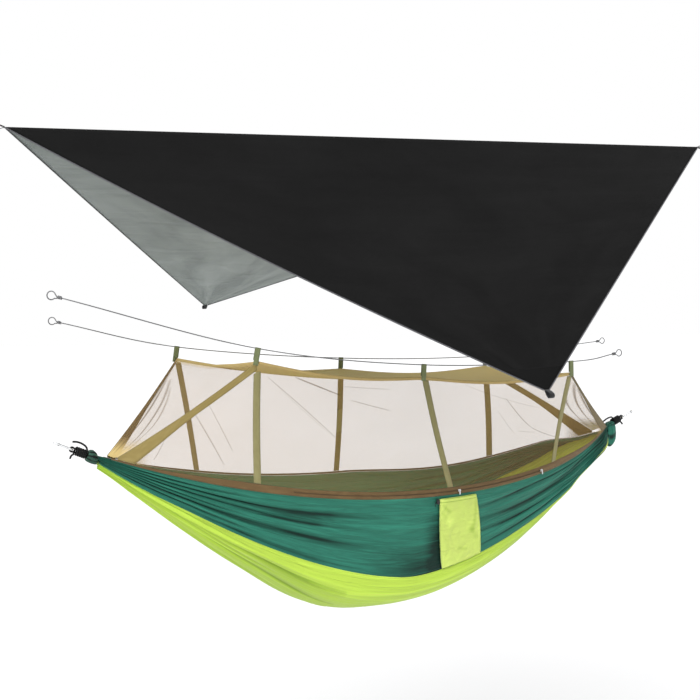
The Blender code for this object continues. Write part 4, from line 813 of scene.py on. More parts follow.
def make_finishes():
    make_groups()
    side_rows = dict(seams=SIDE_SEAMS, thread=tone(*SIDE_THREAD_TONE))
    rows = {
        # Nylon rows: the lit tone, then deep, the painted shade tone of its folds and creases
        "green": (nylon, "dark green nylon", (56, 144, 121), (5, 44, 35), side_rows),
        # A lighter copy for the inner face: painted light against the shade inside the hammock
        "green inside": (nylon, "dark green nylon, inner face", (62, 150, 122), (42, 108, 84),
                         dict(close=0.12, **side_rows)),
        "lime": (nylon, "lime nylon", (220, 255, 96), (138, 176, 36),
                 dict(seams=CENTRE_SEAMS, fold_share=0.9, close=0.06)),
        # A lighter copy for the inner face: painted light against the shade inside the hammock
        "lime inside": (nylon, "lime nylon, inner face", (240, 255, 110), (196, 222, 84),
                        dict(seams=CENTRE_SEAMS, close=0.25)),
        "pocket": (nylon, "pocket nylon", (234, 255, 132), (156, 192, 62),
                   dict(along=9.0, across=7.0, seams=(0.013,), close=0.06, creases=POCKET_CREASES)),
        "piping": (nylon, "pocket edge piping", (232, 255, 160), (190, 222, 110), dict(close=0.05)),
        # A darker copy of the green nylon for the left gathered hem: painted shade, nearly black between the
        # flutes
        "channel": (nylon, "gathered hem nylon", (66, 108, 90), (3, 10, 8), dict(along=40.0, across=20.0)),
        "zip nylon": (plastic, "zip nylon", (70, 56, 40), (96, 80, 60), dict(roughness=0.5)),
        "black plastic": (plastic, "black plastic", (28, 28, 29), (52, 52, 54), dict(roughness=0.42)),
    }
    for key, creases in (("near", NEAR_CREASES), ("far", FAR_CREASES)):
        rows[f"{key} net"] = (netting, f"{key} netting", (186, 150, 104), (168, 146, 92),
                              dict(cover=0.18, doubled_cover=0.62, creases=creases))
    rows["roof net"] = (netting, "roof netting", (196, 160, 112), (255, 226, 152),
                        dict(cover=0.20, doubled_cover=0.74, creases=ROOF_CREASES))
    for key, name, light, dark, width in (
            ("rim tape", "rim tape", (150, 122, 80), (100, 76, 46), BAND_HEIGHT),
            ("far rim tape", "shaded rim tape", (112, 106, 70), (80, 76, 46), BAND_HEIGHT),
            ("net tape", "net tape", (184, 176, 126), (144, 136, 88), TAPE_WIDTH),
            # A lighter copy for the inner face: painted light against the shade the netting casts on it
            ("net tape inside", "net tape, inner face", (214, 208, 156), (170, 164, 112), TAPE_WIDTH),
            ("edge tape", "net edge tape", (226, 198, 132), (196, 168, 104), BINDING_WIDTH),
            ("slanted tape", "slanted tape", (194, 174, 112), (150, 130, 72), SLANT_BAND_WIDTH),
            # A lighter copy for the inner face: painted light against the shade the netting casts on it
            ("slanted tape inside", "slanted tape, inner face", (222, 206, 140), (178, 160, 98),
             SLANT_BAND_WIDTH)):
        rows[key] = (webbing, name, light, dark, dict(width=width))
    rows["pleated tape"] = (webbing, "pleated net edge", (160, 142, 96), (92, 76, 42),
                            dict(width=SLANT_BAND_WIDTH, stitched=False, pleats=70.0))
    for key, name, light, dark, width in (
            ("hanger", "hanger webbing", (160, 168, 122), (112, 122, 82), HANGER_WIDTH),
            ("black webbing", "black webbing", (48, 48, 50), (22, 22, 23), LOOP_WIDTH)):
        rows[key] = (webbing, name, light, dark, dict(width=width, pitch=0.0026))
    # Braided cords: light is the painted light of the strand tops, dark the painted shade of the gaps
    for key, name, light, dark, pitch in (
            ("grey cord", "grey cord", (182, 182, 184), (118, 118, 122), 0.004),
            ("rope", "black rope", (46, 46, 48), (9, 9, 10), 0.007),
            ("drawcord", "black drawcord", (46, 46, 48), (10, 10, 11), 0.003)):
        rows[key] = (braided, name, light, dark, dict(pitch=pitch))
    for key, name, base, light, roughness, gloss, wrinkling in (
            ("tarp", "black tarp cloth", (24, 24, 24), (29, 29, 29), 0.75, 0.03, 0.003),
            ("lining", "silver coating", (122, 131, 128), (160, 168, 166), 0.42, 0.45, 0.014),
            ("hem", "tarp hem", (104, 104, 108), (136, 136, 140), 0.6, 0.2, 0.004),
            ("patch", "tarp patch", (21, 21, 21), (26, 26, 26), 0.75, 0.03, 0.003)):
        rows[key] = (tarp_cloth, name, base, light,
                     dict(roughness=roughness, gloss=gloss, wrinkling=wrinkling))
    made = {key: kind(name, tone(*first), tone(*second), **rest)
            for key, (kind, name, first, second, rest) in rows.items()}
    made["steel"] = metal("bright steel", (0.80, 0.81, 0.82, 1.0), (0.55, 0.56, 0.57, 1.0), 0.20)
    made["dark steel"] = metal("dark steel", (0.05, 0.05, 0.052, 1.0), (0.16, 0.16, 0.16, 1.0), 0.38)
    made["spring steel"] = metal("spring steel", (0.50, 0.50, 0.51, 1.0), (0.34, 0.34, 0.34, 1.0), 0.35)
    made["zip metal"] = metal("zip metal", (0.74, 0.74, 0.75, 1.0), (0.50, 0.50, 0.50, 1.0), 0.30, 320.0)
    return made


def dress_hardware(finishes):
    """Finishes of the solids that stay as they are."""
    finish_of = {"carabiner_frame": "steel", "carabiner_gate": "steel", "gate_rivet": "dark steel",
                 "spring": "spring steel", "slider": "zip metal", "pull": "zip metal",
                 "cord_lock": "black plastic", "plunger": "black plastic"}
    for name, node in nodes.items():
        for part, finish_name in finish_of.items():
            if name.endswith(part):
                node.data.materials.clear()
                node.data.materials.append(finishes[finish_name])


# The cloth's lines, each a function of X

def rim_point(x, side):
    reach = min(abs(x), RIM_ARC_REACH)
    angle = asin(reach / RIM_ARC_RADIUS)
    rise = RIM_ARC_RADIUS * (1 - cos(angle))
    slope = tan(angle)
    beyond = max(abs(x) - RIM_ARC_REACH, 0.0)
    run = HALF_SPAN - RIM_ARC_REACH
    pull = (beyond / run) ** 2
    half = RIM_HALF_WIDTH - rise * cos(RIM_ARC_TILT)
    narrowing = slope * cos(RIM_ARC_TILT)
    half_here = half - narrowing * beyond - (half - narrowing * run - NECK_HALF_WIDTH) * pull
    height = rise * sin(RIM_ARC_TILT) - RIM_SAG
    climb = slope * sin(RIM_ARC_TILT)
    height_here = height + climb * beyond + (NECK_TOP - height - climb * run) * pull
    if side > 0:
        away = min(abs(x - FAR_DROP_PLACE) / FAR_DROP_REACH, 1.0)
        height_here -= FAR_RIM_DROP * (1 - away ** 2) ** 2
        height_here -= FAR_NECK_DROP * ease(0.95, 1.12, x)
    return Vector((x, side * half_here, height_here))


def seam_point(x, side):
    share = x / HALF_SPAN
    moved = (x - SEAM_LOW_SHIFT * (1 - share * share)) / HALF_SPAN
    flare_share = max(share - FLARE_START_SHARE, 0.0) / (1 - FLARE_START_SHARE)
    half = NECK_HALF_WIDTH + (abs(rim_point(x, side).y) - NECK_HALF_WIDTH) * (
        SEAM_WIDTH_SHARE + BELLY_SHARE * max(share, 0.0) ** 3)
    half += NECK_FLARE * sin(pi * flare_share ** 2)
    height = -NECK_SEAM_DROP - RIGHT_SEAM_DROP * max(share, 0.0) ** RIGHT_SEAM_POWER
    height -= SEAM_SAG * (1 - abs(moved) ** SEAM_CURVE_SHARE)
    return Vector((x, side * half, height))


def along_table(places, values, place):
    last = len(places) - 1
    index = max((i for i in range(last) if place >= places[i]), default=0)

    def slope(i):
        before, after = max(i - 1, 0), min(i + 1, last)
        return (values[after] - values[before]) / (places[after] - places[before])

    step = places[index + 1] - places[index]
    t = (place - places[index]) / step
    return (mix(values[index], values[index + 1], t * t * (3 - 2 * t))
            + t * (1 - t) ** 2 * step * slope(index) + t * t * (t - 1) * step * slope(index + 1))


def bottom_height(x):
    return -NECK_BOTTOM_DROP - BOTTOM_SAG * along_table(BOTTOM_PLACES, BOTTOM_DROPS, x / HALF_SPAN)


def station(share):
    place = 2 * share - 1
    return HALF_SPAN * (place + STATION_CROWD_SHARE * (place - place ** 3))


def rolled_under(x):
    """How far the side panels have closed round the bunched cloth before the right neck."""
    return ease(0.66, 0.80, x / HALF_SPAN)


def lower_seam(x, side):
    """The visible edge of a side panel on the lime cloth; on the far side it climbs to the right neck."""
    seam = seam_point(x, side)
    if side > 0:
        rim, share = rim_point(x, side), 1 - 0.5 * ease(0.98, 1.13, x)
        return Vector((x, mix(rim.y, seam.y, sin(pi / 2 * share)), mix(rim.z, seam.z, share)))
    lowered = (0.5 * rolled_under(x) * (1 - ease(0.76, 0.86, x / HALF_SPAN))
               + 0.4 * ease(0.74, 0.96, -x / HALF_SPAN))
    seam.z = mix(seam.z, bottom_height(x) + 0.004, lowered)
    seam.y *= 1 - 0.13 * rolled_under(x)
    return seam


def side_point(x, t, side):
    rim, seam = rim_point(x, side), lower_seam(x, side)
    return Vector((x, mix(rim.y, seam.y, sin(pi / 2 * t)), mix(rim.z, seam.z, t)))


def centre_point(x, t):
    turn = pi / 2 * (2 * t - 1)
    seam = lower_seam(x, -1 if turn < 0 else 1)
    low = mix(bottom_height(x), lower_seam(x, -1).z - 0.003, rolled_under(x))
    return Vector((x, abs(seam.y) * sin(turn), low + (seam.z - low) * (1 - cos(turn))))


# Folds: the cloth keeps the width it was cut to, so where the ends draw it in, the rest lies in pleats

def pleats(x, t, count, seed):
    """From 0 in a pleat's sharp valley to 1 on its round crest; uneven, and wandering a little."""
    wander = 0.55 * uneven(x * 1.6, t * 2.5, seed)
    spot = t * count + wander
    strength = 0.88 + 0.95 * uneven(floor(spot) * 3.7, x * 0.9, seed + 2.0)
    return strength * abs(sin(pi * spot)) ** 0.8


def from_middle(x):
    """0 at the middle of the hammock and 1 at its gathered ends."""
    return abs(x) / HALF_SPAN


def small_pleats(x):
    return ease(SMALL_PLEATS_FROM, SMALL_PLEATS_FULL, from_middle(x))


def gathers(x, t, counts, seed):
    """Few broad pleats that reach far along the cloth, and more small ones near its ends."""
    broad = pleats(x, t, counts[0], seed)
    small = pleats(x, t, counts[1], seed + 11.0)
    return mix(broad, 0.25 * broad + 0.85 * small, small_pleats(x))


def panel(name, base, counts, seed, short, cut, outward, materials, rows, calm=None, shaded=None):
    """One panel of the hammock, with its pleats and short wrinkles in the mesh.

    calm(x, t) is 0 where something lies on the cloth, and shaded(x, t) is 1 where it lies in deep shade.
    """
    depths = {}

    def depth_at(x):
        """How deep pleats must be for the cut width to fit in this width."""
        if x not in depths:
            wide = sum((base(x, (i + 1) / 8) - base(x, i / 8)).length for i in range(8))
            count = mix(counts[0], counts[1], small_pleats(x))
            spare = max((cut[1] / wide) ** 2 - 1.0, 0.0)
            deepest = DEEPEST_PLEAT * ease(0.08, 0.70, from_middle(x))
            depths[x] = min(wide / (2 * count) * sqrt(spare), deepest)
        return depths[x]

    def kept(x, t):
        """1 in the open cloth, 0 along the seams and under what lies on it."""
        edges = min(1.0, 10 * t, 10 * (1 - t))
        return edges * (calm(x, t) if calm else 1.0)

    def height(p, q):
        x = station(held(p))
        wrinkle = uneven(x * 6.0, q * 19.0, seed + 9.0)
        fine = short * (1 - ease(0.35, 0.8, from_middle(x))) * wrinkle
        near_neck = ease(0.72, 0.98, from_middle(x))
        pleat = min(gathers(x, q, counts, seed) - mix(0.55, 1.05, near_neck), 1.2 * (1 - near_neck))
        return kept(x, q) * (depth_at(round(x, 6)) * pleat + fine)

    # Painted shade: dark in the pleats' valleys, and wherever shaded says the panel lies in shade
    def valley(p, q):
        x = station(held(p))
        reach = min(depth_at(round(x, 6)) / 0.010, 1.0)
        fold = kept(x, q) * reach * max(0.0, 1.0 - 1.6 * gathers(x, q, counts, seed)) ** 1.2
        return max(fold, shaded(x, q)) if shaded else fold

    surface = lifted(lambda p, q: base(station(p), q), height, outward)
    return cloth(name, surface, PANEL_COLUMNS, rows, cut, outward, *materials, thickness=CLOTH_THICKNESS,
                 depth=valley)


def wrap_right_neck(centre, finishes):
    """Dark green on the outside where the near panel closes under the bunched cloth."""
    centre.data.materials.append(finishes["green"])
    uv = centre.data.uv_layers["UVMap"].data
    for face in centre.data.polygons:
        along, across = uv[face.loop_start].uv
        share = station(along / CENTRE_CUT[0]) / HALF_SPAN
        if face.material_index == 0 and across / CENTRE_CUT[1] < 0.5 * ease(0.80, 0.95, share):
            face.material_index = 2


def beside_pocket(x, t):
    """0 behind the pocket and 1 beside it."""
    moved = x - POCKET_LEAN * t
    left, right = POCKET_ENDS
    return 1 - ease(left - 0.03, left, moved) * ease(-right - 0.03, -right, -moved)


def under_pocket(x, t):
    """Dark where the full bag keeps the light off, and in the tight bundle of the right neck."""
    moved = x - POCKET_LEAN * t - POCKET_ENDS[0]
    wide = 0.62 * ease(-0.42, -0.06, moved) * ease(0.42, 0.95, t)
    close = 0.60 * ease(-0.080, -0.004, moved) * ease(0.08, 0.45, t)
    return (wide + close) * (1 - ease(0.01, 0.05, moved)) + 0.40 * ease(0.74, 0.96, x / HALF_SPAN)


def in_shade(x, t):
    """A little dark towards both necks of the far panel."""
    return 0.25 * ease(0.80, 1.0, from_middle(x))


def painted_underside_shade(x, t):
    """Painted shade: a little dark along the middle of the lime cloth, where it faces down."""
    return 0.34 * (1 - ease(0.0, 0.40, abs(t - 0.5))) * (1 - ease(0.5, 0.9, from_middle(x)))


def build_cloth(finishes):
    made = {}
    for side, side_name in SIDE_NAMES.items():
        name = f"{side_name}_panel"
        calm, shaded = (beside_pocket, under_pocket) if side < 0 else (None, in_shade)
        materials = (finishes["green"], finishes["green inside"])
        made[side] = panel(f"{name}_cloth", lambda x, t: side_point(x, t, side), (4.5, 7.5), 3.1 + side,
                           0.0022, SIDE_CUT, Vector((0, side, 0)), materials, 90, calm, shaded)
        finish_soft(made[side], "hammock", name)
    centre = panel("centre_panel_cloth", centre_point, (6.5, 13.5), 7.7, 0.0012, CENTRE_CUT,
                   Vector((0, 0, -1)), (finishes["lime"], finishes["lime inside"]), 110, shaded=painted_underside_shade)
    wrap_right_neck(applied(centre), finishes)
    finish_soft(centre, "hammock", "centre_panel")
    bands = {side: build_rim_band(side, finishes) for side in (-1, 1)}
    for side in (-1, 1):
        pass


def finish_soft(item, body, node):
    """Let a soft piece ride on its body and stand for its plain solid, where it has one."""
    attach(item, body)
    if node:
        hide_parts(node)
    return item


def build_rim_band(side, finishes):
    def surface(p, q):
        x = mix(-NET_REACH[-1] - 0.02, NET_REACH[1] + 0.01, p)
        ripple = 0.0006 * uneven(p * 60, q * 2, side)
        return rim_point(x, side) + Vector((0, side * ripple, mix(BAND_LIFT, band_height(x, side), q)))

    item = cloth(f"{SIDE_NAMES[side]}_rim_tape", surface, 160, 4, (2.4, BAND_HEIGHT), Vector((0, side, 0)),
                 finishes["rim tape" if side < 0 else "far rim tape"], thickness=BAND_THICKNESS)
    return finish_soft(item, "hammock", f"{SIDE_NAMES[side]}_rim_band")


# Net

def band_height(x, side):
    """The rim tape narrows to the net's ends, and the far one shows only its edge."""
    from_end = min(x + NET_REACH[-1], NET_REACH[1] - x)
    return BAND_HEIGHT * (1.0 if side < 0 else 0.30) * mix(0.25, 1.0, ease(0.0, 0.45, from_end))


def net_knots(side):
    """The feet of the net's corners along X, and its top corners."""
    feet = (-NET_REACH[-1], *FEET[side], NET_REACH[1])
    left, right = (rim_point(x, side) + UP * (NET_GAP + 0.4 * NET_APEX_HEIGHT) + UP * band_height(x, side)
                   for x in (feet[0], feet[-1]))
    tops = [Vector((x, side * NET_TOP_HALF_WIDTH, height - HANGER_DROP))
            for x, height in zip(HANGERS[side], CORD_HEIGHTS[side])]
    return feet, [left, *tops, right]


def net_top(side, foot_x):
    feet, tops = net_knots(side)
    span = max(i for i in range(4) if foot_x >= feet[i] or i == 0)
    share = (foot_x - feet[span]) / (feet[span + 1] - feet[span])
    droop = NET_SLANT_SAG if span in (0, 3) else NET_EDGE_SAG
    if side > 0 and span == 3:
        droop = FAR_RIGHT_SLANT_SAG
    point = mix(tops[span], tops[span + 1], share)
    point.z -= droop * sin(pi * held(share))
    return point


def wall_point(side, foot_x, t):
    foot = rim_point(foot_x, side) + UP * (band_height(foot_x, side) + NET_GAP)
    top = net_top(side, foot_x)
    point = mix(foot, top, t)
    tall = (top.z - foot.z) / (CORD_HEIGHTS[-1][1] + RIM_SAG)
    point.y -= side * NET_WALL_SAG * tall * sin(pi * held(t))
    return point


def wall_height(side, foot_x):
    return (net_top(side, foot_x) - rim_point(foot_x, side)).length - band_height(foot_x, side)


def along_feet(side, share):
    """X on the band of a share of the wall's columns, equal in number between the feet."""
    feet = net_knots(side)[0]
    spot = held(share) * 4
    index = min(int(spot), 3)
    return mix(feet[index], feet[index + 1], spot - index)


def follow_both(item, node):
    """Work a net piece's modifiers into its mesh, hide the plain solid it stands for and bake its placement
    into the mesh.
    """
    applied(item)
    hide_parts(node)
    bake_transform(item)
    return item


def strip(name, side, place_x, low, high, columns, rows, cut, *materials):
    """A tape sewn on the outside of a net wall; place_x gives its columns' feet."""
    outward = Vector((0, side, 0))

    def surface(p, q):
        x = place_x(p)
        return wall_point(side, x, mix(low(x), high(x), q))

    return cloth(name, lifted(surface, TAPE_LIFT, outward), columns, rows, cut, outward, *materials,
                 thickness=TAPE_THICKNESS, grow_out=True)


def build_walls(finishes):
    walls = {}
    for side, side_name in SIDE_NAMES.items():
        def surface(p, q):
            x = along_feet(side, p)
            ripple = 0.004 * uneven(x * 5, q * 3, side * 2.0) * sin(pi * q)
            return wall_point(side, x, q) + Vector((0, ripple, 0))

        walls[side] = cloth(f"{side_name}_wall_netting", surface, 200, 48, NET_WALL_CUT, Vector((0, side, 0)),
                            finishes[f"{side_name} net"],
                            depth=lambda p, q: 1 - ease(0.02, 0.06, p) + ease(0.93, 0.975, p))
        follow_both(walls[side], f"{side_name}_net_wall")
    return walls


def build_roof(finishes):
    def surface(p, q):
        near, far = net_top(-1, along_feet(-1, p)), net_top(1, along_feet(1, p))
        width = (far - near).length
        point = mix(near, far, mix(ROOF_EDGE_GAP / width, 1 - ROOF_EDGE_GAP / width, q))
        ripple = 0.006 * uneven(p * 9, q * 4, 4.0) * sin(pi * q)
        point.z += ripple - NET_ROOF_SAG * width / (2 * NET_TOP_HALF_WIDTH) * sin(pi * q)
        return point

    def doubled(p, q):
        """1 over the flat top, less towards the necks, and 0 in the slanted ends between."""
        flat = ease(0.235, 0.252, p) * (1 - ease(0.748, 0.765, p))
        return max(flat, 0.9 * (1 - ease(0.01, 0.06, p)), 0.8 * ease(0.94, 0.99, p))

    item = cloth("roof_netting", surface, 160, 40, NET_ROOF_CUT, UP, finishes["roof net"], depth=doubled)
    return follow_both(item, "net_roof")


def below_top(side, x, width):
    """Where a tape of this width along the top begins, as a share of the wall's height."""
    return max(1 - width / wall_height(side, x), 0.0)


def build_upright_tapes(side, finishes):
    narrowed = 0.35 * SLANT_BAND_WIDTH
    widths = (narrowed if side > 0 else SLANT_BAND_WIDTH, BINDING_WIDTH,
              narrowed if side < 0 else SLANT_BAND_WIDTH)
    outward = Vector((0, side, 0))
    tapes = []
    for place_name, foot, width in zip(PLACE_NAMES, FEET[side], widths):
        top = below_top(side, foot, width + TAPE_END_GAP)

        def surface(p, q):
            return wall_point(side, foot + TAPE_WIDTH * (q - 0.5), p * top)

        name = f"{SIDE_NAMES[side]}_{place_name}"
        tape = cloth(f"{name}_upright_tape", lifted(surface, TAPE_LIFT, outward), 60, 4,
                     (wall_height(side, foot), TAPE_WIDTH), outward, finishes["net tape"],
                     finishes["net tape inside"], thickness=TAPE_THICKNESS, grow_out=True)
        tapes.append(follow_both(tape, f"{name}_tape"))
    return tapes


def build_binding(side, finishes):
    left, middle, right = FEET[side]
    name = SIDE_NAMES[side]
    binding = strip(f"{name}_edge_binding", side,
                    lambda p: mix(left, middle, p * 2) if p < 0.5 else mix(middle, right, p * 2 - 1),
                    lambda x: below_top(side, x, BINDING_WIDTH), lambda x: 1.0, 80, 3, (1.4, BINDING_WIDTH),
                    finishes["edge tape"])
    return follow_both(binding, f"{name}_top_binding")


def build_slanted_tapes(side, finishes):
    feet = net_knots(side)[0]
    tapes = []
    for place_name, low_x, high_x in (("left", feet[0], feet[1] - TAPE_END_GAP),
                                      ("right", feet[3] + TAPE_END_GAP, feet[4])):
        pleated = (side > 0) == (place_name == "left")

        def width_at(x):
            """Each slanted edge narrows from its neck to the hanger, the pleated ones most."""
            from_neck = (x - low_x) / (high_x - low_x)
            if place_name == "right":
                from_neck = 1 - from_neck
            if pleated:
                return SLANT_BAND_WIDTH * mix(1.3, 0.35, ease(0.05, 0.75, from_neck))
            return SLANT_BAND_WIDTH * mix(1.8, 0.85, ease(0.0, 0.6, from_neck))

        kinds = ["pleated tape"] if pleated else ["slanted tape", "slanted tape inside"]
        band = strip(f"{SIDE_NAMES[side]}_{place_name}_slanted_tape", side, lambda p: mix(low_x, high_x, p),
                     lambda x: below_top(side, x, width_at(x)), lambda x: 1.0, 60, 4,
                     (0.6, SLANT_BAND_WIDTH), *[finishes[kind] for kind in kinds])
        tapes.append(follow_both(band, f"{SIDE_NAMES[side]}_{place_name}_band"))
    return tapes


def build_net(finishes):
    walls = build_walls(finishes)
    roof = build_roof(finishes)
    for side in (-1, 1):
        pieces = [*build_upright_tapes(side, finishes), build_binding(side, finishes),
                  *build_slanted_tapes(side, finishes)]


# Ridge cords and hangers

def ridge_knots(side):
    places = [CORD_LEFT[side], *zip(HANGERS[side], CORD_HEIGHTS[side]), CORD_RIGHT[side]]
    return [Vector((x, side * NET_TOP_HALF_WIDTH, z)) for x, z in places]


def eye(end, inward):
    """A tied eye, then its tail whipped round the standing part."""
    out = -inward
    up = turned_to(Vector((0, 1, 0)).cross(out).normalized(), UP)
    lateral = out.cross(up)
    centre = end + out * EYE_RADIUS * 1.4
    points = []
    for turn in arc(pi, -tau, EYE_STEPS)[2:-2]:
        points.append(centre + out * EYE_RADIUS * cos(turn) + up * EYE_RADIUS * sin(turn))
    whip = 2 * RIDGE_CORD_RADIUS + WHIP_GAP
    for step in range(WHIP_TURNS * WHIP_STEPS + 1):
        turn = tau * step / WHIP_STEPS
        back = inward * (WHIP_PITCH * step / WHIP_STEPS + RIDGE_CORD_RADIUS)
        points.append(end + back - up * whip * cos(turn) + lateral * whip * sin(turn))
    return points


def build_ridge_cords(finishes):
    for side, side_name in SIDE_NAMES.items():
        standing = smooth_path(ridge_knots(side), 14)
        left = eye(standing[0], (standing[1] - standing[0]).normalized())
        right = eye(standing[-1], (standing[-2] - standing[-1]).normalized())
        points = [*reversed(left), *standing, *right]
        name = f"{side_name}_ridge_cord"
        cord = tube(f"{name}_braid", points, RIDGE_CORD_RADIUS, finishes["grey cord"])
        finish_soft(cord, "hung_frame", name)
        path = [ZERO + point for point in points]
        tuple(path[0])
        round(length_of(path), 2)
        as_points(path)


def build_hangers(finishes):
    ring = RIDGE_CORD_RADIUS + HANGER_CORD_GAP + HANGER_THICKNESS / 2
    for side, side_name in SIDE_NAMES.items():
        route = smooth_path(ridge_knots(side), 6)
        for place_name, knot in zip(PLACE_NAMES, ridge_knots(side)[1:4]):
            near = min(range(1, len(route) - 1), key=lambda i: (route[i] - knot).length)
            along = (route[near + 1] - route[near - 1]).normalized()
            out, up = Vector((0, side, 0)), Vector((-along.z, 0, along.x))
            path = [knot + out * ring - up * (HANGER_DROP + HANGER_OVERLAP)]
            path += [knot + out * ring - up * (HANGER_DROP * k / 6) for k in range(6, 0, -1)]
            for turn in arc(0.0, pi, 12):
                path.append(knot + out * ring * cos(turn) + up * ring * sin(turn))
            path += [knot - out * ring - up * (HANGER_DROP * k / 6) for k in range(1, 6)]
            path.append(knot - out * ring - up * (HANGER_DROP - HANGER_THICKNESS * 2))
            name = f"{side_name}_{place_name}_hanger"
            loop = ribbon(f"{name}_webbing", path, along, HANGER_WIDTH, up, finishes["hanger"],
                          HANGER_THICKNESS)
            finish_soft(loop, "hung_frame", name)


# Ends

def end_point(end, along, across, height):
    out = Vector((end * cos(END_SLOPE), 0, sin(END_SLOPE)))
    up = Vector((-end * sin(END_SLOPE), 0, cos(END_SLOPE)))
    return Vector((end * HALF_SPAN, 0, 0)) + out * along + Vector((0, across, 0)) + up * height


def build_channel(end, prefix, finishes):
    """The scrunched hem at a cloth end: deep uneven flutes, drawn in round the rope."""
    def wall(p, q):
        turn = tau * p
        swell = sin(pi * held(q)) ** 0.7
        seed = Vector((cos(turn) * 2.2, sin(turn) * 2.2, q * 0.9 + end))
        flute = abs(noise.noise(seed * 1.7)) * 1.6 + 0.5 * abs(sin(FLUTE_BEAT * turn + 0.8 * q))
        radius = mix(*CHANNEL_RADII, swell) - FLUTE_DEPTH * (1 - min(flute, 1.0))
        hang = CHANNEL_DROOPS[end] * (DROOP_START_SHARE + q) * (1 - q ** DROOP_POWER)
        hang += MOUTH_DROOPS[end] * q
        height = radius * cos(turn) - hang * max(-cos(turn), 0.0)
        if end > 0 and height > 0:
            height *= 0.5
        upright = (0.0005 + height * sin(END_SLOPE)) / cos(END_SLOPE)
        return end_point(end, mix(upright, CHANNEL_LENGTH, q), radius * sin(turn), height)

    def surface(p, q):
        """The wall, then the mouth, drawn in to half its width."""
        if q <= CHANNEL_WALL_SHARE:
            return wall(p, max(q, 0.0) / CHANNEL_WALL_SHARE)
        outer, drawn = wall(p, 1.0), (q - CHANNEL_WALL_SHARE) / (1 - CHANNEL_WALL_SHARE)
        centre = end_point(end, CHANNEL_LENGTH - 0.004, 0, 0)
        return mix(outer, centre + (outer - centre) * 0.5, drawn)

    def fold(p, q):
        """Painted shade: dark between the flutes."""
        flute = abs(sin(FLUTE_BEAT * tau * p + 0.8 * q))
        flute -= 0.5 * uneven(p * 9.0, q * 2.0, end)
        return max(0.0, 1.0 - 1.3 * flute)

    body = cloth(f"{prefix}_gathered_hem", surface, 144, 40, CHANNEL_CUT, Vector((0, 0, -1)),
                 finishes["channel" if end < 0 else "green"], depth=fold)
    finish_soft(closed(body), "hammock", f"{prefix}_end_channel")


def build_rope_loop(end, prefix, finishes):
    bight = BAR_RADIUS + ROPE_GAP + ROPE_RADIUS
    out_end = LASHING_START + LASHING_PITCH * LASHING_TURNS + ROPE_RADIUS
    points = [end_point(end, out_end, 0, ROPE_HALF_SPREAD)]
    for turn in arc(pi / 2, -pi, 16):
        points.append(end_point(end, BAR_CENTRE + bight * cos(turn), 0, bight * sin(turn)))
    points.append(end_point(end, out_end, 0, -ROPE_HALF_SPREAD))
    for turn in arc(-pi / 2, -pi, 16):
        points.append(end_point(end, ROPE_INNER_END + ROPE_HALF_SPREAD * cos(turn), 0,
                                ROPE_HALF_SPREAD * sin(turn)))
    loop = tube(f"{prefix}_rope_loop_braid", points, ROPE_RADIUS, finishes["rope"], cyclic=True)
    finish_soft(loop, "hammock", f"{prefix}_rope_loop")


def build_lashing(end, prefix, finishes):
    """The turns of rope that bind the loop, with their two tails."""
    wind = ROPE_HALF_SPREAD + 2 * ROPE_RADIUS + ROPE_GAP
    coil = []
    for step in range(round(LASHING_TURNS * LASHING_STEPS) + 1):
        turn = pi + tau * step / LASHING_STEPS
        along = LASHING_START + LASHING_PITCH * (LASHING_TURNS - step / LASHING_STEPS)
        coil.append(end_point(end, along, -wind * sin(turn), wind * cos(turn)))
    lower = [end_point(end, *spot) for spot in LOWER_TAIL]
    upper = [end_point(end, *spot) for spot in UPPER_TAILS[end]]
    points = smooth_path(lower + coil[:1], 5)[:-1] + coil + smooth_path(coil[-1:] + upper, 6)[1:]
    lashing = tube(f"{prefix}_lashing_braid", points, ROPE_RADIUS, finishes["rope"])
    finish_soft(lashing, "hammock", f"{prefix}_rope_lashing")


# Zip and pocket

def zip_point(x):
    return rim_point(x, -1) + Vector((0, -(ZIP_COIL_RADIUS + ZIP_COIL_GAP), BAND_HEIGHT / 2))


def build_zip(finishes):
    """The zip's coil as one wound thread."""
    points = []
    for step in range(ZIP_TURNS * ZIP_STEPS + 1):
        x = mix(*ZIP_ENDS, step / (ZIP_TURNS * ZIP_STEPS))
        turn = tau * step / ZIP_STEPS
        points.append(zip_point(x) + Vector((0, cos(turn), sin(turn))) * ZIP_WIND_RADIUS)
    coil = tube("zip_coil_thread", points, ZIP_THREAD_RADIUS, finishes["zip nylon"], resolution=0)
    finish_soft(coil, "hammock", "zip_coil")


def pocket_base(p, q):
    return side_point(mix(*POCKET_ENDS, p) + POCKET_LEAN * q, mix(*POCKET_SHARES, q), -1)


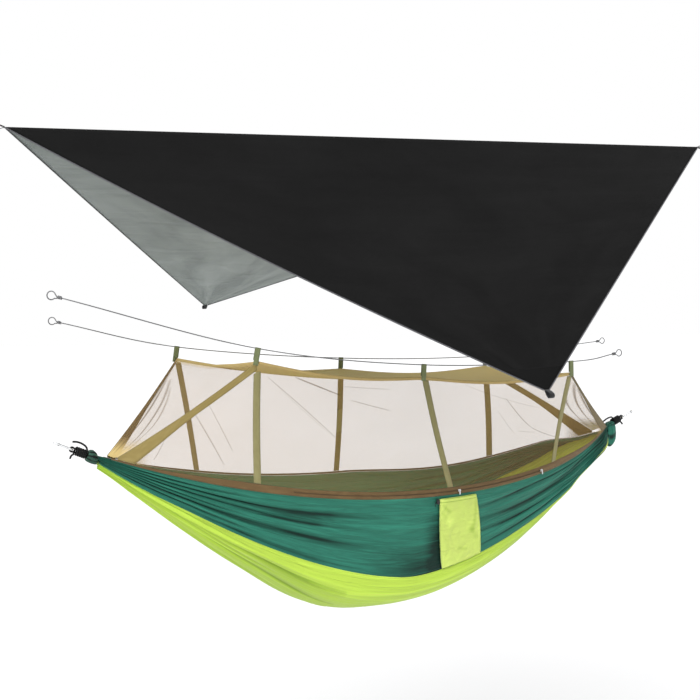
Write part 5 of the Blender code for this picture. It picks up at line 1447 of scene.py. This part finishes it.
def pocket_place(p, q):
    """Round the bag from the right edge over its front to the left edge, and back behind."""
    round_share = 2 * p if p < 0.5 else 2 - 2 * p
    u = 1 - mix(round_share, 0.5 - 0.5 * cos(pi * round_share), 0.4)
    full = max(1 - abs(2 * u - 1) ** 7, 0.0) ** 0.5 * (1 if p < 0.5 else -1)
    closing = (1 - max(q - 0.90, 0.0) / 0.10 * 0.85) if q > 0.9 else 1.0
    hem = 1 - ease(*POCKET_HEM, q)
    height = POCKET_GAP + POCKET_DEPTH / 2
    height += full * (POCKET_DEPTH / 2 - 0.0012) * closing * mix(0.72, 1.0, ease(0, 0.5, q))
    if full > 0:
        crease = uneven(u * 3.4 + q * 1.7, q * 4.2 - u * 1.2, 3.0)
        fine = uneven(u * 9.0 + q * 5.0, q * 8.0 - u * 4.0, 8.0)
        height += full * (0.0060 * (abs(crease) * 2 - 0.5) + 0.0020 * abs(fine)) * ease(0.05, 0.14, q)
        height += 0.0011 * full * hem
    spread = POCKET_SPREAD * sin(0.75 * pi * q ** 0.9) * ease(0.3, 1.0, u)
    spread += 0.012 * hem * (u - 0.5)
    out = normal_at(pocket_base, u, q, POCKET_NORMAL_STEP, Vector((0, -1, 0)))
    return pocket_base(u + spread, q) + out * height


def build_pocket(finishes):
    """A soft bag, fuller below, with an open hemmed mouth, piped edges and its drawcord."""
    bag = cloth("pocket_cloth", pocket_place, 160, 90, POCKET_CUT, Vector((0, -1, 0)), finishes["pocket"],
                thickness=CLOTH_THICKNESS)
    finish_soft(closed(bag), "hammock", "pocket_bag")
    for edge_name, turn in (("right", 0.0), ("left", 0.5)):
        points = [pocket_place(turn, mix(0.05, 0.98, k / 40)) for k in range(41)]
        piping = tube(f"pocket_{edge_name}_edge_piping", points, POCKET_PIPING_RADIUS, finishes["piping"],
                      resolution=2)
        finish_soft(piping, "hammock", None)
    build_drawcord(finishes)


def build_drawcord(finishes):
    """The cord from the pocket's hem through the lock, and its free end."""
    corner = pocket_base(0, 0)
    edge = POCKET_ENDS[0] + POCKET_LEAN * DRAWCORD_DROP / (pocket_base(0.5, 1) - pocket_base(0.5, 0)).length
    x = edge - LOCK_GAP - LOCK_RADIUS
    y = corner.y - POCKET_GAP - POCKET_DEPTH / 2
    z = corner.z - DRAWCORD_DROP
    left = x - LOCK_RADIUS
    route = [(edge - POCKET_GAP / 2, y, z), (x, y, z), (left - LOCK_GAP / 2, y, z),
             (left - LOCK_GAP * 1.5, y, z - LOCK_GAP), (left - LOCK_GAP * 2, y, z - LOCK_RADIUS),
             (left - LOCK_GAP * 1.9, y, z - LOCK_RADIUS * 2.4)]
    points = smooth_path(route, 6)
    cord = tube("pocket_drawcord_braid", points, DRAWCORD_RADIUS, finishes["drawcord"])
    finish_soft(cord, "hammock", "pocket_drawcord")
    path = [ZERO + point for point in points]
    tuple(path[0])
    round(length_of(path), 3)
    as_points(path)


# Tarp

def flap_frame(side):
    """A half's free corner, its altitudes on the right edge, left edge and ridge, and the way it faces."""
    corner = TARP_CORNERS[side]
    normal = (TARP_RIGHT - TARP_LEFT).cross(corner - TARP_LEFT)
    area = normal.length
    altitudes = (area / (corner - TARP_RIGHT).length, area / (corner - TARP_LEFT).length,
                 area / (TARP_RIGHT - TARP_LEFT).length)
    normal.normalize()
    return corner, altitudes, turned_to(normal, UP)


def flap_point(side, right_share, corner_share):
    corner, altitudes, normal = flap_frame(side)
    left_share = 1 - right_share - corner_share
    point = TARP_LEFT * left_share + TARP_RIGHT * right_share + corner * corner_share
    dip = 27 * max(left_share, 0.0) * max(right_share, 0.0) * max(corner_share, 0.0)
    edge = 4 * max(left_share, 0.0) * max(corner_share, 0.0)
    return point - normal * (TARP_SAG * dip + TARP_DROOPS[side] * edge)


def flap_surface(side, margins, first, last):
    """Rows run along the ridge; margins are kept free at the right-hand and left-hand edges."""
    altitudes = flap_frame(side)[1]

    def surface(p, q):
        corner_share = mix(first, last, q)
        right_end = 1 - corner_share - margins[1] / altitudes[0]
        return flap_point(side, mix(margins[0] / altitudes[1], right_end, p), corner_share)

    return surface


def build_tarp(finishes):
    for side, side_name in SIDE_NAMES.items():
        name = f"tarp_{side_name}"
        body = f"{name}_flap"
        corner, altitudes, normal = flap_frame(side)
        first, last = TARP_RIDGE_GAP / altitudes[2], 1 - TARP_TIP / altitudes[2]
        base = flap_surface(side, (0.0, 0.0), first, last)

        def height(p, q):
            soft = uneven(p * 3.0, q * 2.2, side * 3.0)
            pulled = uneven(p * 14.0 + q * 6.0, q * 2.0, side * 5.0)
            kept = min(1, 8 * p, 8 * (1 - p)) * min(1, 10 * q, 10 * (1 - q))
            return (0.004 * soft + 0.0012 * pulled) * kept

        half = cloth(f"{name}_cloth", lifted(base, height, normal), 120, 80, (3.2, 1.6), normal,
                     finishes["tarp"], finishes["lining"], thickness=TARP_THICKNESS, grow_out=True)
        finish_soft(half, body, f"{name}_half")

        for edge_name, edge_shares in (("left", lambda t: (0.0, t)), ("right", lambda t: (1 - t, t))):
            points = [flap_point(side, *edge_shares(mix(first, last, k / 60))) for k in range(61)]
            piping = tube(f"{name}_{edge_name}_edge_piping", points, TARP_PIPING_RADIUS, finishes["hem"],
                          resolution=2)
            finish_soft(piping, body, None)
        patch_last = 1 - (TARP_TIP + LOOP_GAP) / altitudes[2]
        patch_first = patch_last - PATCH_DEPTH / altitudes[2]
        patch_base = flap_surface(side, (PATCH_MARGIN, PATCH_MARGIN), patch_first, patch_last)
        patch = cloth(f"{name}_corner_patch", lifted(patch_base, PATCH_LIFT, normal), 16, 16,
                      (0.2, PATCH_DEPTH), normal, finishes["patch"], thickness=PATCH_THICKNESS, grow_out=True)
        finish_soft(patch, body, f"{name}_patch")
        tip = mix(flap_point(side, 0.0, last), flap_point(side, 1 - last, last), 0.5)
        down = turned_to((TARP_RIGHT - TARP_LEFT).cross(normal).normalized(), tip - TARP_LEFT)
        loop = corner_loop(f"{name}_loop", tip + down * LOOP_GAP, down, normal, finishes)
        finish_soft(loop, body, f"{name}_loop")
    ridge = (TARP_RIGHT - TARP_LEFT).normalized()
    for name, corner, out in (("left", TARP_LEFT, -ridge), ("right", TARP_RIGHT, ridge)):
        root = corner + out * RIDGE_LOOP_GAP
        loop = corner_loop(f"tarp_{name}_loop", root, out, UP, finishes)
        finish_soft(loop, "hung_frame", f"tarp_{name}_loop")


def corner_loop(name, root, out, normal, finishes):
    """A webbing loop that starts at root and points out."""
    across = out.cross(normal).normalized()
    lift = across.cross(out).normalized()
    outline = [(0.0, -0.0018), (0.006, -0.0028), (0.014, -0.0062)]
    for turn in arc(-pi / 2, pi, 16):
        outline.append((LOOP_REACH - LOOP_HALF_HEIGHT + LOOP_HALF_HEIGHT * cos(turn),
                        LOOP_HALF_HEIGHT * sin(turn)))
    outline += [(reach, -height) for reach, height in reversed(outline[:3])]
    route = smooth_path([root + out * reach + lift * height for reach, height in outline], 2)
    return ribbon(f"{name}_webbing", route, across, LOOP_WIDTH, out, finishes["black webbing"],
                  LOOP_THICKNESS)


def build():
    set_camera()
    finishes = make_finishes()
    build_ridge_cords(finishes)
    build_pocket(finishes)
    set_studio()
    dress_hardware(finishes)
    build_cloth(finishes)
    build_net(finishes)
    build_hangers(finishes)
    for end, prefix in ((-1, "left"), (1, "right")):
        build_channel(end, prefix, finishes)
        build_rope_loop(end, prefix, finishes)
        build_lashing(end, prefix, finishes)
    build_zip(finishes)
    build_tarp(finishes)


build()
bpy.context.scene.view_settings.view_transform = "Standard"
[[list(corner) for corner in box] for box in (CAD_BOX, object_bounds())]
